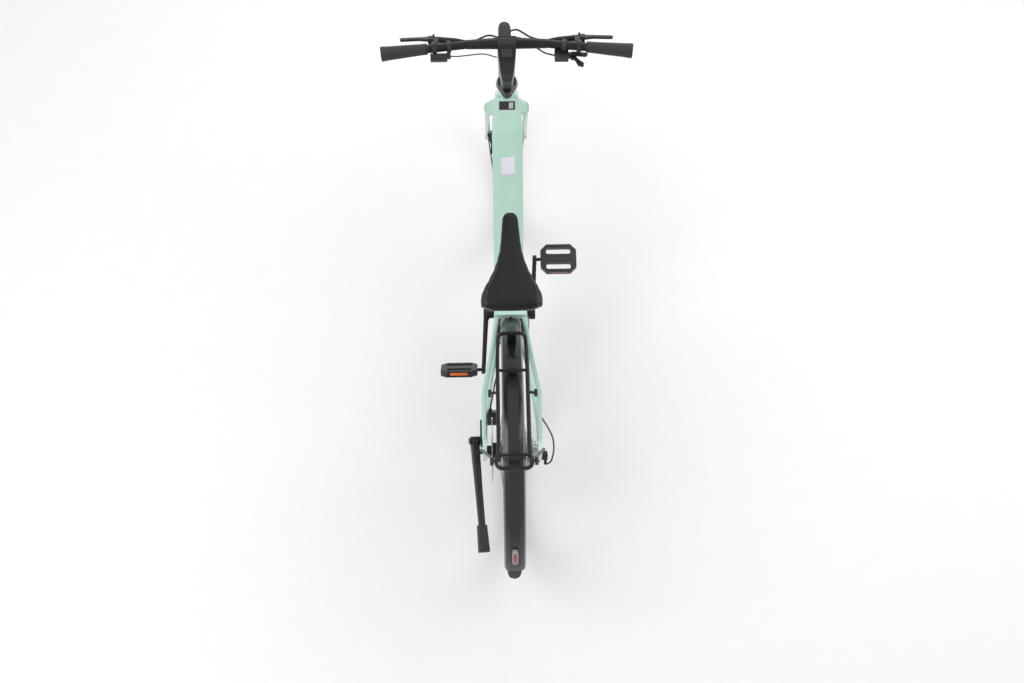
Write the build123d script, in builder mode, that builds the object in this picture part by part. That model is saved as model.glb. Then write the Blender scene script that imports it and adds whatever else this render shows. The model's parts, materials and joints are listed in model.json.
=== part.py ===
from build123d import *
import math
import os

os.makedirs("parts", exist_ok=True)

# Step-through electric city bicycle. X is the rider's right, Y is forward, Z is up.
# The origin lies on the floor under the middle of the whole bicycle. All sizes are in mm.

# ------------------------------------------------------------------ driving dimensions
wheel_radius = 353.0
tyre_width = 42.0
rim_radius = 316.0
rim_bed_radius = 297.0
rim_width = 25.0
wheelbase = 1093.0
chainstay_reach = 473.0
bracket_height = 285.0
head_angle = 70.0
fork_offset = 45.0
seat_angle = 73.0

head_bottom = 440.0
head_top = 612.0
head_radius = 28.0
steerer_radius = 14.3
bearing_height = 8.0
bearing_radius = 24.5

beam_width = 86.0
beam_depth = 100.0
beam_facet = 50.0
battery_width = 66.0
battery_depth = 74.0
battery_length = 430.0

motor_radius = 78.0
motor_half_width = 40.0
spindle_radius = 12.5
seat_tube_radius = 19.0
seat_tube_top = 480.0
post_radius = 15.8
post_exposed = 116.0

fender_radius = 378.0
fender_width = 56.0
fender_depth = 15.0
fender_wall = 2.0
fender_start = -4.0
fender_end = 168.0
front_fender_radius = 373.0
front_fender_width = 54.0
front_fender_start = 101.0
front_fender_end = 176.0

axle_radius = 6.0
hub_half_width = 71.0
front_hub_half_width = 50.0
rotor_radius = 90.0
rotor_offset = 56.0
front_rotor_offset = 36.0
spoke_count = 32
spoke_radius = 1.0

crank_length = 170.0
crank_angle = 15.6
chainline = 51.0
ring_teeth = 36
cog_teeth = 18
chain_pitch = 12.7
pulley_teeth = 12
pedal_centre = 153.0
pedal_width = 109.0
pedal_depth = 90.0
pedal_height = 19.0

bar_half_span = 330.0
bar_radius = 15.9
bar_end_radius = 11.1
bar_sweep = 30.0
bar_forward = 69.5
bar_up = 724.0
grip_length = 122.0

rack_height = 745.0
rack_tube_radius = 5.0
rack_half_width = 38.0
rack_front = -309.0
rack_rear = -680.0

kickstand_reach = 262.0
kickstand_foot_length = 64.0

running_gap = 0.05
clearance = 0.3

# ------------------------------------------------------------------ places worked out
fender_tail = fender_radius * math.cos(math.radians(180.0 - fender_end))
front_reach = wheelbase - chainstay_reach + wheel_radius
rear_reach = chainstay_reach + fender_tail
bracket_y = (rear_reach - front_reach) / 2.0


def at(x, y, z):
    """A point given from the bottom bracket along Y, and from the floor along Z."""
    return Vector(x, bracket_y + y, z)


bracket = at(0.0, 0.0, bracket_height)
rear_axle_point = at(0.0, -chainstay_reach, wheel_radius)
front_axle_point = at(0.0, wheelbase - chainstay_reach, wheel_radius)
across = Vector(1.0, 0.0, 0.0)

head_rad = math.radians(head_angle)
steer_up = Vector(0.0, -math.cos(head_rad), math.sin(head_rad))
steer_forward = Vector(0.0, math.sin(head_rad), math.cos(head_rad))
steer_foot = front_axle_point - steer_forward * fork_offset
steer = Plane(origin=steer_foot, x_dir=across, z_dir=steer_up)

seat_rad = math.radians(seat_angle)
seat_up = Vector(0.0, -math.cos(seat_rad), math.sin(seat_rad))
seat = Plane(origin=bracket, x_dir=across, z_dir=seat_up)

beam_low = at(0.0, 22.0, bracket_height + 20.0)
beam_high = steer_foot + steer_up * (head_bottom + 86.0)
beam_direction = (beam_high - beam_low).normalized()
beam_length = (beam_high - beam_low).length
beam = Plane(origin=beam_low, x_dir=across, z_dir=beam_direction)


def on(plane, x, y, z):
    """The global place of a point given in a plane's own directions."""
    return plane.from_local_coords(Vector(x, y, z))


def side_plane(point, x):
    """A plane facing the rider's right, through a point, at the given X."""
    return Plane(origin=(x, point.Y, point.Z), x_dir=(0, 1, 0), z_dir=(1, 0, 0))


def rod(start, end, radius, end_radius=None, mode=Mode.ADD):
    """A round bar, or a taper, between two points."""
    start_point = Vector(start)
    direction = Vector(end) - start_point
    first = Plane(origin=start_point, z_dir=direction)
    with BuildSketch(first) as near_end:
        Circle(radius)
    if end_radius is None:
        extrude(near_end.sketch, amount=direction.length, mode=mode)
    else:
        with BuildSketch(first.offset(direction.length)) as far_end:
            Circle(end_radius)
        loft([near_end.sketch, far_end.sketch], mode=mode)


def disc(centre, x_low, x_high, radius, hole=0.0, mode=Mode.ADD):
    """A round plate across the bicycle, between two X values, with an optional hole."""
    with BuildSketch(side_plane(centre, x_low)) as profile:
        Circle(radius)
        if hole > 0.0:
            Circle(hole, mode=Mode.SUBTRACT)
    extrude(profile.sketch, amount=x_high - x_low, mode=mode)


def flat(points, x_low, x_high, mode=Mode.ADD):
    """A plate across the bicycle with a straight-sided outline of (y, z) points."""
    with BuildSketch(Plane(origin=(x_low, 0, 0), x_dir=(0, 1, 0), z_dir=(1, 0, 0))) as profile:
        with BuildLine():
            Polyline(*points, close=True)
        make_face()
    extrude(profile.sketch, amount=x_high - x_low, mode=mode)


def bend_radii(points, share=0.45):
    """The largest even bend at each corner of a route."""
    places = [Vector(p) for p in points]
    radii = []
    for before, corner, after in zip(places, places[1:], places[2:]):
        arriving = corner - before
        leaving = after - corner
        half_turn = math.radians(arriving.get_angle(leaving)) / 2.0
        shorter = min(arriving.length, leaving.length)
        radii.append(share * shorter / math.tan(half_turn))
    return radii


def pipe(points, radius, mode=Mode.ADD):
    """A round tube along straight runs joined by tangent bends."""
    with BuildLine() as route:
        FilletPolyline(*points, radius=bend_radii(points))
    with BuildSketch(Plane(origin=route.line @ 0, z_dir=route.line % 0)) as profile:
        Circle(radius)
    sweep(profile.sketch, path=route.line, mode=mode)


def ellipse_pipe(points, half_wide, half_deep):
    """An oval tube along straight runs joined by tangent bends, wide across X."""
    with BuildLine() as route:
        FilletPolyline(*points, radius=bend_radii(points))
    start = Plane(origin=route.line @ 0, x_dir=across, z_dir=route.line % 0)
    with BuildSketch(start) as profile:
        Ellipse(half_wide, half_deep)
    sweep(profile.sketch, path=route.line)


def save(node, name):
    """Name a finished piece and write it out."""
    node.part.label = name
    export_step(node.part, "parts/" + name + ".step")


# ------------------------------------------------------------------ head tube and bearings
with BuildPart(steer.offset(head_bottom)) as head_tube:
    head_length = head_top - head_bottom
    Cylinder(head_radius, head_length, align=(Align.CENTER, Align.CENTER, Align.MIN))
    Cylinder(
        bearing_radius - 4.5, head_length,
        align=(Align.CENTER, Align.CENTER, Align.MIN), mode=Mode.SUBTRACT,
    )
    for seat_height in (0.0, head_length - bearing_height):
        with Locations((0, 0, seat_height)):
            Cylinder(
                bearing_radius, bearing_height,
                align=(Align.CENTER, Align.CENTER, Align.MIN), mode=Mode.SUBTRACT,
            )
    outer_edges = head_tube.edges().filter_by(GeomType.CIRCLE)
    chamfer([edge for edge in outer_edges if edge.radius > head_radius - 0.1], 1.5)
save(head_tube, "head_tube")

with BuildPart(steer.offset(head_bottom)) as headset_bearings:
    for seat_height in (0.0, head_length - bearing_height):
        with Locations((0, 0, seat_height)):
            Cylinder(
                bearing_radius - running_gap, bearing_height,
                align=(Align.CENTER, Align.CENTER, Align.MIN),
            )
            Cylinder(
                steerer_radius + running_gap, bearing_height,
                align=(Align.CENTER, Align.CENTER, Align.MIN), mode=Mode.SUBTRACT,
            )
save(headset_bearings, "headset_bearings")

# The cover is round over the upper bearing and runs back to a narrow tail.
cover_height = 15.0
with BuildPart() as headset_cover:
    cover_plane = steer.offset(head_top)
    with BuildSketch(cover_plane):
        with BuildLine():
            nose = CenterArc((0, 0), 30.0, -20.0, 220.0)
            tail = CenterArc((0, -28.0), 15.0, 200.0, 140.0)
            Line(nose @ 1, tail @ 0)
            Line(tail @ 1, nose @ 0)
        make_face()
    with BuildSketch(cover_plane.offset(cover_height)):
        with BuildLine():
            nose = CenterArc((0, 0), 25.5, -20.0, 220.0)
            tail = CenterArc((0, -22.0), 11.0, 200.0, 140.0)
            Line(nose @ 1, tail @ 0)
            Line(tail @ 1, nose @ 0)
        make_face()
    loft()
    with BuildSketch(cover_plane):
        Circle(steerer_radius + clearance)
    extrude(amount=cover_height, mode=Mode.SUBTRACT)
save(headset_cover, "headset_cover")

# ------------------------------------------------------------------ main beam and battery


def beam_section(height, width, depth, facet, under):
    """An eight-sided beam section: flat facet on top, bevelled sides, narrower underside."""
    half_w = width / 2.0
    half_d = depth / 2.0
    bevel = (width - facet) / 2.0 * 0.62
    with BuildSketch(beam.offset(height)) as section:
        with BuildLine():
            Polyline(
                (-facet / 2.0, -half_d), (facet / 2.0, -half_d),
                (half_w, -half_d + bevel), (half_w, half_d - bevel * 0.6),
                (under / 2.0, half_d), (-under / 2.0, half_d),
                (-half_w, half_d - bevel * 0.6), (-half_w, -half_d + bevel),
                close=True,
            )
        make_face()
    return section.sketch


battery_floor = -beam_depth / 2.0 + 20.0
battery_start = 88.0
under_width = battery_width + 10.0
with BuildPart() as main_beam:
    foot_section = beam_section(0.0, beam_width + 4.0, beam_depth + 12.0, beam_facet - 6.0, under_width)
    low_section = beam_section(beam_length * 0.28, beam_width, beam_depth, beam_facet - 4.0, under_width)
    high_section = beam_section(beam_length * 0.86, beam_width, beam_depth, beam_facet + 4.0, under_width)
    head_section = beam_section(
        beam_length, head_radius * 2.3, beam_depth * 0.78, head_radius * 1.6, head_radius * 1.7
    )
    loft([foot_section, low_section, high_section, head_section], ruled=True)
    disc(bracket, -beam_width, beam_width, motor_radius + 0.1, mode=Mode.SUBTRACT)
    rod(
        steer_foot + steer_up * (head_bottom - 100.0), steer_foot + steer_up * (head_top + 100.0),
        head_radius + 0.02, mode=Mode.SUBTRACT,
    )
    with Locations(beam):
        with Locations((0, battery_floor, battery_start)):
            Box(
                battery_width + 1.0, beam_depth * 2.0, battery_length + 1.0,
                align=(Align.CENTER, Align.MIN, Align.MIN), mode=Mode.SUBTRACT,
            )
save(main_beam, "main_beam")

with BuildPart(beam.offset(battery_start + 0.5)) as battery_pack:
    with Locations((0, battery_floor, 0)):
        Box(
            battery_width, battery_depth, battery_length,
            align=(Align.CENTER, Align.MIN, Align.MIN),
        )
    long_edges = battery_pack.edges().filter_by(Axis(beam_low, beam_direction))
    fillet(long_edges, 6.0)
save(battery_pack, "battery_pack")

# ------------------------------------------------------------------ motor
with BuildPart() as motor_unit:
    disc(bracket, -motor_half_width, motor_half_width, motor_radius)
    disc(bracket, motor_half_width, motor_half_width + 4.5, motor_radius - 22.0)
    disc(bracket, -motor_half_width - 4.5, -motor_half_width, motor_radius - 22.0)
    disc(bracket, -beam_width, beam_width, spindle_radius + running_gap, mode=Mode.SUBTRACT)
    rim_edges = motor_unit.edges().filter_by(GeomType.CIRCLE)
    chamfer([edge for edge in rim_edges if edge.radius > motor_radius - 0.5], 4.0)
save(motor_unit, "motor_unit")

# ------------------------------------------------------------------ seat tube and seatpost
seat_tube_foot = motor_radius * 0.6
with BuildPart() as seat_tube:
    rod(on(seat, 0, 0, seat_tube_foot), on(seat, 0, 0, seat_tube_top), seat_tube_radius)
    rod(
        on(seat, 0, 0, motor_radius + 60.0), on(seat, 0, 0, seat_tube_top + 1.0),
        post_radius + 0.08, mode=Mode.SUBTRACT,
    )
    disc(bracket, -beam_width, beam_width, motor_radius + 0.1, mode=Mode.SUBTRACT)
    add(main_beam.part, mode=Mode.SUBTRACT)
save(seat_tube, "seat_tube")

collar_height = 16.0
with BuildPart(seat.offset(seat_tube_top - collar_height)) as seat_collar:
    Cylinder(seat_tube_radius + 4.0, collar_height, align=(Align.CENTER, Align.CENTER, Align.MIN))
    with Locations((0, -seat_tube_radius - 5.0, collar_height / 2.0)):
        Box(17.0, 10.0, 12.0)
        Cylinder(3.4, 24.0, rotation=(0, 90, 0))
    with Locations((0, -seat_tube_radius - 5.0, collar_height / 2.0)):
        Box(2.0, 24.0, collar_height + 2.0, mode=Mode.SUBTRACT)
    Cylinder(
        seat_tube_radius + 0.02, collar_height,
        align=(Align.CENTER, Align.CENTER, Align.MIN), mode=Mode.SUBTRACT,
    )
save(seat_collar, "seat_collar")

post_top = seat_tube_top + post_exposed
post_foot = seat_tube_top - 220.0
with BuildPart() as seatpost:
    rod(on(seat, 0, 0, post_foot), on(seat, 0, 0, post_top), post_radius)
    rod(on(seat, 0, 0, post_foot - 1.0), on(seat, 0, 0, post_top - 24.0), post_radius - 2.2, mode=Mode.SUBTRACT)
    head = on(seat, 0, 0, post_top)
    with Locations(head + Vector(0, 0, 4.0)):
        Box(34.0, 44.0, 14.0)
save(seatpost, "seatpost")

# ------------------------------------------------------------------ saddle
saddle_top = 955.0
saddle_nose = -68.0
saddle_tail = -345.0
rail_height = head.Z + 11.0 + 3.6
rail_middle = head.Y - bracket_y
with BuildPart() as saddle_rails:
    for side in (-1, 1):
        pipe(
            [
                at(9.0 * side, saddle_nose - 34.0, saddle_top - 28.0),
                at(14.0 * side, saddle_nose - 60.0, rail_height + 5.0),
                at(21.9 * side, rail_middle + 46.0, rail_height),
                at(22.0 * side, rail_middle - 46.0, rail_height + 0.2),
                at(30.0 * side, saddle_tail + 66.0, rail_height + 8.0),
                at(38.0 * side, saddle_tail + 38.0, saddle_top - 33.0),
            ],
            3.5,
        )
save(saddle_rails, "saddle_rails")

def saddle_outline(height, inset):
    """A level outline of the saddle: slim nose, then wings at the tail."""
    length = saddle_nose - saddle_tail
    stations = [(0.0, 9.0), (0.06, 17.0), (0.26, 24.0), (0.5, 30.0), (0.68, 46.0), (0.82, 70.0), (0.95, 77.5)]
    right = [(half - inset, saddle_nose - share * length) for share, half in stations]
    right[0] = (right[0][0], saddle_nose - inset)
    right.append((52.0 - inset, saddle_tail + inset))
    left = [(-x, y) for x, y in reversed(right)]
    with BuildSketch(Plane(origin=at(0, 0, height))) as outline:
        with BuildLine():
            Polyline(*right, *left, close=True)
        make_face()
    return outline.sketch


cushion_under = saddle_top - 24.0
with BuildPart() as saddle_cushion:
    low_outline = saddle_outline(cushion_under, 0.0)
    high_outline = saddle_outline(saddle_top, 9.0)
    loft([low_outline, high_outline], ruled=True)
save(saddle_cushion, "saddle_cushion")

with BuildPart() as saddle_base:
    extrude(saddle_outline(cushion_under - 7.0, 3.0), amount=7.0)
    add(saddle_rails.part, mode=Mode.SUBTRACT)
save(saddle_base, "saddle_base")

# ------------------------------------------------------------------ rear stays
stay_radius = 7.5
dropout_inner = hub_half_width + 0.3
dropout_outer = dropout_inner + 11.0
stay_x = dropout_inner + 5.5
yoke_y = -178.0
yoke_z = 606.0
stay_foot_y = -chainstay_reach + 26.0
stay_foot_z = wheel_radius + 24.0


def along_stay(share, x):
    """A point on the straight side view of a seat stay, from the yoke to the dropout."""
    return at(x, yoke_y + share * (stay_foot_y - yoke_y), yoke_z + share * (stay_foot_z - yoke_z))


with BuildPart() as chainstays:
    for side in (-1, 1):
        ellipse_pipe(
            [
                at(30.0 * side, -58.0, bracket_height + 2.0),
                at(37.0 * side, -110.0, bracket_height + 8.0),
                at(54.0 * side, -205.0, bracket_height + 25.0),
                at(66.0 * side, -300.0, bracket_height + 44.0),
                at((dropout_inner + 5.0) * side, -392.0, wheel_radius - 5.0),
                at((dropout_inner + 5.4) * side, -446.0, wheel_radius - 1.0),
            ],
            7.0, 10.5,
        )
        low_x, high_x = sorted((dropout_inner * side, dropout_outer * side))
        dropout_outline = [
            (-18.0, -30.0), (14.0, -26.0), (52.0, -14.0), (56.0, 10.0), (34.0, 30.0), (8.0, 26.0),
            (-16.0, 34.0), (-24.0, 20.0),
        ]
        flat(
            [(rear_axle_point.Y + y, rear_axle_point.Z + z) for y, z in dropout_outline], low_x, high_x,
        )
    disc(rear_axle_point, -dropout_outer - 1.0, dropout_outer + 1.0, axle_radius, mode=Mode.SUBTRACT)
    disc(bracket, -beam_width, beam_width, motor_radius + 0.1, mode=Mode.SUBTRACT)
    with Locations(at(0, -96.0, bracket_height + 5.0)):
        Box(72.0, 14.0, 14.0)
    disc(bracket, -beam_width, beam_width, motor_radius + 0.1, mode=Mode.SUBTRACT)
save(chainstays, "chainstays")

with BuildPart() as seat_stays:
    for side in (-1, 1):
        pipe(
            [
                at(36.0 * side, yoke_y + 12.0, yoke_z + 8.0),
                along_stay(0.05, 39.0 * side),
                along_stay(0.22, 47.0 * side),
                along_stay(0.50, 67.0 * side),
                along_stay(0.62, (stay_x - 0.5) * side),
                along_stay(1.0, stay_x * side),
            ],
            stay_radius,
        )
    with BuildSketch(Plane(origin=at(0, 0, yoke_z - 8.0))) as yoke_plan:
        with BuildLine():
            Polyline(
                (-14.0, -106.0), (14.0, -106.0), (24.0, -140.0), (44.0, yoke_y + 8.0),
                (44.0, yoke_y - 8.0), (-44.0, yoke_y - 8.0), (-44.0, yoke_y + 8.0), (-24.0, -140.0), close=True,
            )
        make_face()
    extrude(yoke_plan.sketch, amount=22.0)
    rod(on(seat, 0, 0, 100.0), on(seat, 0, 0, seat_tube_top), seat_tube_radius + 0.02, mode=Mode.SUBTRACT)
    add(chainstays.part, mode=Mode.SUBTRACT)
save(seat_stays, "seat_stays")

with BuildPart() as rear_axle:
    disc(rear_axle_point, -dropout_outer - 5.0, dropout_outer + 5.0, axle_radius)
    for side in (-1, 1):
        low_x, high_x = sorted((dropout_outer * side, (dropout_outer + 5.0) * side))
        disc(rear_axle_point, low_x, high_x, axle_radius + 3.5)
save(rear_axle, "rear_axle")

# ------------------------------------------------------------------ fenders


def polar(centre, radius, angle, x=0.0):
    """A point round a wheel: angle 0 is forward and 90 is up."""
    turn = math.radians(angle)
    return Vector(x, centre.Y + radius * math.cos(turn), centre.Z + radius * math.sin(turn))


def polar_plane(centre, angle, radius=0.0):
    """A plane across a wheel at an angle, with its own Y pointing outwards."""
    turn = math.radians(angle)
    along = Vector(0.0, -math.sin(turn), math.cos(turn))
    return Plane(origin=polar(centre, radius, angle), x_dir=across, z_dir=along)


def fender_arc(centre, radius, width, start, end):
    """A channel-shaped mudguard round a wheel."""
    half = width / 2.0
    outer = [
        (-half, radius - fender_depth), (-half + 4.0, radius - 5.0), (-half + 14.0, radius),
        (half - 14.0, radius), (half - 4.0, radius - 5.0), (half, radius - fender_depth),
    ]
    wall = fender_wall
    inner = [
        (half - wall, radius - fender_depth), (half - 4.0 - wall * 0.7, radius - 5.0 - wall * 0.7),
        (half - 14.0, radius - wall), (-half + 14.0, radius - wall),
        (-half + 4.0 + wall * 0.7, radius - 5.0 - wall * 0.7), (-half + wall, radius - fender_depth),
    ]
    with BuildSketch(polar_plane(centre, start)) as channel:
        with BuildLine():
            Polyline(*outer, *inner, close=True)
        make_face()
    revolve(channel.sketch, axis=Axis(centre, across), revolution_arc=end - start)


with BuildPart() as rear_fender:
    fender_arc(rear_axle_point, fender_radius, fender_width, fender_start, fender_end)
    rod(at(0, yoke_y - 2.0, yoke_z), at(0, yoke_y - 2.0, yoke_z - 26.0), 7.0)
    add(seat_stays.part, mode=Mode.SUBTRACT)
save(rear_fender, "rear_fender")

light_angle = 157.5
with BuildPart() as tail_light:
    light_plane = polar_plane(rear_axle_point, light_angle, fender_radius + 0.1)
    with Locations(light_plane):
        Box(16.0, 9.0, 50.0, align=(Align.CENTER, Align.MIN, Align.CENTER))
    fillet(tail_light.edges().filter_by(Axis(light_plane.origin, light_plane.y_dir)), 7.9)
    disc(rear_axle_point, -20.0, 20.0, fender_radius + 0.1, mode=Mode.SUBTRACT)
save(tail_light, "tail_light")

# ------------------------------------------------------------------ rack
rack_cross_front = -415.0
rack_cross_rear = -645.0
with BuildPart() as rack:
    for side in (-1, 1):
        pipe(
            [
                at(6.0 * side, rack_rear, rack_height),
                at(48.0 * side, rack_rear, rack_height),
                at(rack_half_width * side, rack_cross_rear + 6.0, rack_height),
                at((rack_half_width - 0.5) * side, rack_front - 60.0, rack_height),
                at((rack_half_width - 4.0) * side, rack_front, rack_height),
                at(2.0 * side, rack_front, rack_height),
            ],
            rack_tube_radius,
        )
        for post_y, reach in ((-476.0, 58.0), (-660.0, 55.0)):
            start_x = rack_half_width * side
            rod(at(start_x, post_y, rack_height), at(reach * side, post_y, rack_height - 6.0), 3.5)
            rod(
                at(reach * side, post_y - 9.0, rack_height - 6.0),
                at(reach * side, post_y + 9.0, rack_height - 6.0), 4.5,
            )
        pipe(
            [
                at((dropout_outer + 4.0) * side, -chainstay_reach - 12.0, wheel_radius + 27.0),
                at((dropout_outer + 4.0) * side, -chainstay_reach - 22.0, wheel_radius + 62.0),
                at((rack_half_width + 8.0) * side, rack_cross_rear - 6.0, rack_height - 24.0),
                at((rack_half_width - 1.0) * side, rack_cross_rear - 4.0, rack_height),
            ],
            4.0,
        )
        low_x, high_x = sorted((dropout_outer * side, (dropout_outer + 8.0) * side))
        disc(at(0, -chainstay_reach - 12.0, wheel_radius + 24.0), low_x, high_x, 7.0)
    rod(at(-6.0, rack_front, rack_height), at(6.0, rack_front, rack_height), rack_tube_radius)
    for bar_y in (rack_cross_front, rack_cross_rear):
        rod(at(-rack_half_width, bar_y, rack_height), at(rack_half_width, bar_y, rack_height), 4.0)
    with Locations(at(0, rack_rear, rack_height)):
        Box(30.0, 12.0, 22.0)
    with Locations(at(0, rack_front - 4.0, rack_height - 25.0)):
        Box(22.0, 5.0, 50.0)
    with Locations(at(0, rack_cross_front, rack_height - 14.0)):
        Box(20.0, 14.0, 28.0)
    rod(at(0, rack_rear - 20.0, rack_height), at(0, rack_rear + 20.0, rack_height), 2.75, mode=Mode.SUBTRACT)
    disc(rear_axle_point, -31.0, 31.0, fender_radius + 0.1, mode=Mode.SUBTRACT)
save(rack, "rack")

# ------------------------------------------------------------------ wheels


def wheel_ring(centre, profile_points):
    """A closed outline of (x, radius) points turned once round a wheel."""
    with BuildSketch(polar_plane(centre, 0.0)) as outline:
        with BuildLine():
            Polyline(*profile_points, close=True)
        make_face()
    revolve(outline.sketch, axis=Axis(centre, across), revolution_arc=360.0)


def make_wheel(name, centre, left_flange, right_flange, hub_low, hub_high, rotor_x):
    """Tyre, rim, spokes, hub and brake disc of one wheel."""
    section_radius = tyre_width / 2.0
    with BuildPart() as tyre:
        with BuildSketch(polar_plane(centre, 0.0)) as tyre_section:
            with Locations((0, wheel_radius - section_radius)):
                Circle(section_radius)
                Circle(section_radius - 3.5, mode=Mode.SUBTRACT)
            with Locations((0, rim_radius + 0.1)):
                Rectangle(
                    tyre_width * 2.0, tyre_width, align=(Align.CENTER, Align.MAX), mode=Mode.SUBTRACT,
                )
        revolve(tyre_section.sketch, axis=Axis(centre, across), revolution_arc=360.0)
    save(tyre, name + "_tyre")

    half = rim_width / 2.0
    with BuildPart() as rim:
        wheel_ring(
            centre,
            [
                (-half, rim_radius), (-half, rim_radius - 10.0), (-half + 5.0, rim_bed_radius),
                (half - 5.0, rim_bed_radius), (half, rim_radius - 10.0), (half, rim_radius),
                (half - 2.0, rim_radius), (half - 2.0, rim_radius - 7.0),
                (-half + 2.0, rim_radius - 7.0), (-half + 2.0, rim_radius),
            ],
        )
    save(rim, name + "_rim")

    flange_radius = 30.0
    with BuildPart() as hub:
        disc(centre, hub_low, hub_high, 15.0)
        disc(centre, left_flange, right_flange, 20.0)
        for flange_x in (left_flange, right_flange):
            disc(centre, flange_x - 1.5, flange_x + 1.5, flange_radius)
        disc(centre, rotor_x + 1.1, left_flange, 23.0)
        disc(centre, hub_low - 1.0, hub_high + 1.0, axle_radius + running_gap, mode=Mode.SUBTRACT)
    save(hub, name + "_hub")

    with BuildPart() as spokes:
        for index in range(spoke_count):
            on_left = index % 2 == 0
            leading = (index // 2) % 2 == 0
            rim_angle = 360.0 * index / spoke_count
            hub_angle = rim_angle + (52.0 if leading else -52.0)
            flange_x = left_flange if on_left else right_flange
            outboard = -1.0 if on_left else 1.0
            offset = outboard * (3.4 if leading else -2.7)
            near = polar(centre, flange_radius - 5.0, hub_angle, flange_x + offset)
            far = polar(centre, rim_bed_radius - 0.4, rim_angle, -4.0 if on_left else 4.0)
            rod(near, far, spoke_radius)
    save(spokes, name + "_spokes")

    with BuildPart() as rotor:
        disc(centre, rotor_x - 1.0, rotor_x + 1.0, rotor_radius, 15.2)
        with Locations(side_plane(centre, rotor_x)):
            with PolarLocations(55.0, 6):
                Box(34.0, 40.0, 4.0, mode=Mode.SUBTRACT)
            with PolarLocations(83.0, 30):
                Cylinder(2.2, 4.0, mode=Mode.SUBTRACT)
    save(rotor, name + "_rotor")


make_wheel("front", front_axle_point, -22.0, 30.0, -front_hub_half_width + 0.3, front_hub_half_width - 0.3, -front_rotor_offset)
cassette_inner = 29.0
make_wheel("rear", rear_axle_point, -34.0, 21.0, -hub_half_width, cassette_inner - 0.3, -rotor_offset)

# ------------------------------------------------------------------ sprockets


def pitch_radius(teeth):
    """Radius of the chain's pins round a sprocket."""
    return chain_pitch / 2.0 / math.sin(math.pi / teeth)


def sprocket(centre, x, teeth, thickness=1.8):
    """A toothed plate centred on X, with pointed teeth between the chain's pins."""
    pitch = pitch_radius(teeth)
    points = []
    for tooth in range(teeth):
        middle = 360.0 * (tooth + 0.5) / teeth
        step = 360.0 / teeth
        for share, radius in ((-0.5, pitch - 3.9), (-0.3, pitch - 2.6), (-0.09, pitch + 3.2), (0.09, pitch + 3.2), (0.3, pitch - 2.6)):
            turn = math.radians(middle + share * step)
            points.append((radius * math.cos(turn), radius * math.sin(turn)))
    with BuildSketch(side_plane(centre, x - thickness / 2.0)) as plate:
        with BuildLine():
            Polyline(*points, close=True)
        make_face()
    extrude(plate.sketch, amount=thickness)


cog_list = [34, 28, 24, 21, cog_teeth, 15, 13, 11]
cog_spacing = 4.6
first_cog_x = chainline - cog_list.index(cog_teeth) * cog_spacing
with BuildPart() as cassette:
    disc(rear_axle_point, cassette_inner, hub_half_width - 0.3, 16.0)
    for index, teeth in enumerate(cog_list):
        sprocket(rear_axle_point, first_cog_x + index * cog_spacing, teeth)
    disc(rear_axle_point, 0.0, hub_half_width + 1.0, axle_radius + running_gap, mode=Mode.SUBTRACT)
save(cassette, "cassette")

# ------------------------------------------------------------------ cranks, chainring, pedals
crank_turn = math.radians(crank_angle)
crank_tip = {
    side: Vector(
        0.0, bracket.Y + side * crank_length * math.cos(crank_turn),
        bracket.Z + side * crank_length * math.sin(crank_turn),
    )
    for side in (-1, 1)
}
arm_inner = 61.0
arm_outer = 86.0
pedal_spindle_radius = 5.0
pedal_inner = pedal_centre - pedal_width / 2.0
with BuildPart() as crankset:
    disc(bracket, -arm_inner, arm_inner, spindle_radius)
    for side in (-1, 1):
        tip = crank_tip[side]
        middle_x = (arm_inner + arm_outer) / 2.0
        low_x, high_x = sorted((arm_inner * side, (arm_inner + 17.0) * side))
        disc(bracket, low_x, high_x, 17.0)
        low_x, high_x = sorted(((arm_outer - 12.0) * side, arm_outer * side))
        disc(tip, low_x, high_x, 13.0)
        root = Plane(origin=(middle_x * side - 3.5 * side, bracket.Y, bracket.Z), z_dir=Vector(0, tip.Y - bracket.Y, tip.Z - bracket.Z), x_dir=across)
        with BuildSketch(root) as root_section:
            RectangleRounded(15.0, 32.0, 4.0)
        with BuildSketch(Plane(origin=((arm_outer - 6.0) * side, tip.Y, tip.Z), z_dir=root.z_dir, x_dir=across)) as tip_section:
            RectangleRounded(12.0, 24.0, 4.0)
        loft([root_section.sketch, tip_section.sketch])
        low_x, high_x = sorted(((arm_outer - 2.0) * side, (pedal_centre + pedal_width / 2.0 - 8.0) * side))
        disc(tip, low_x, high_x, pedal_spindle_radius)
save(crankset, "crankset")

ring_pitch = pitch_radius(ring_teeth)
with BuildPart() as chainring:
    sprocket(bracket, chainline, ring_teeth, 2.0)
    with Locations(side_plane(bracket, chainline)):
        with PolarLocations(48.0, 5):
            Cylinder(12.0, 8.0, mode=Mode.SUBTRACT)
    disc(bracket, chainline + 5.0, chainline + 7.0, ring_pitch + 9.0, ring_pitch - 12.0)
    with Locations(side_plane(bracket, chainline + 3.0)):
        with PolarLocations(ring_pitch - 9.0, 5, start_angle=36.0):
            Cylinder(5.0, 7.9)
    disc(bracket, chainline - 3.0, chainline + 3.0, 22.0)
    disc(bracket, chainline - 5.0, chainline + 9.0, spindle_radius + 0.02, mode=Mode.SUBTRACT)
save(chainring, "chainring")


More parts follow.
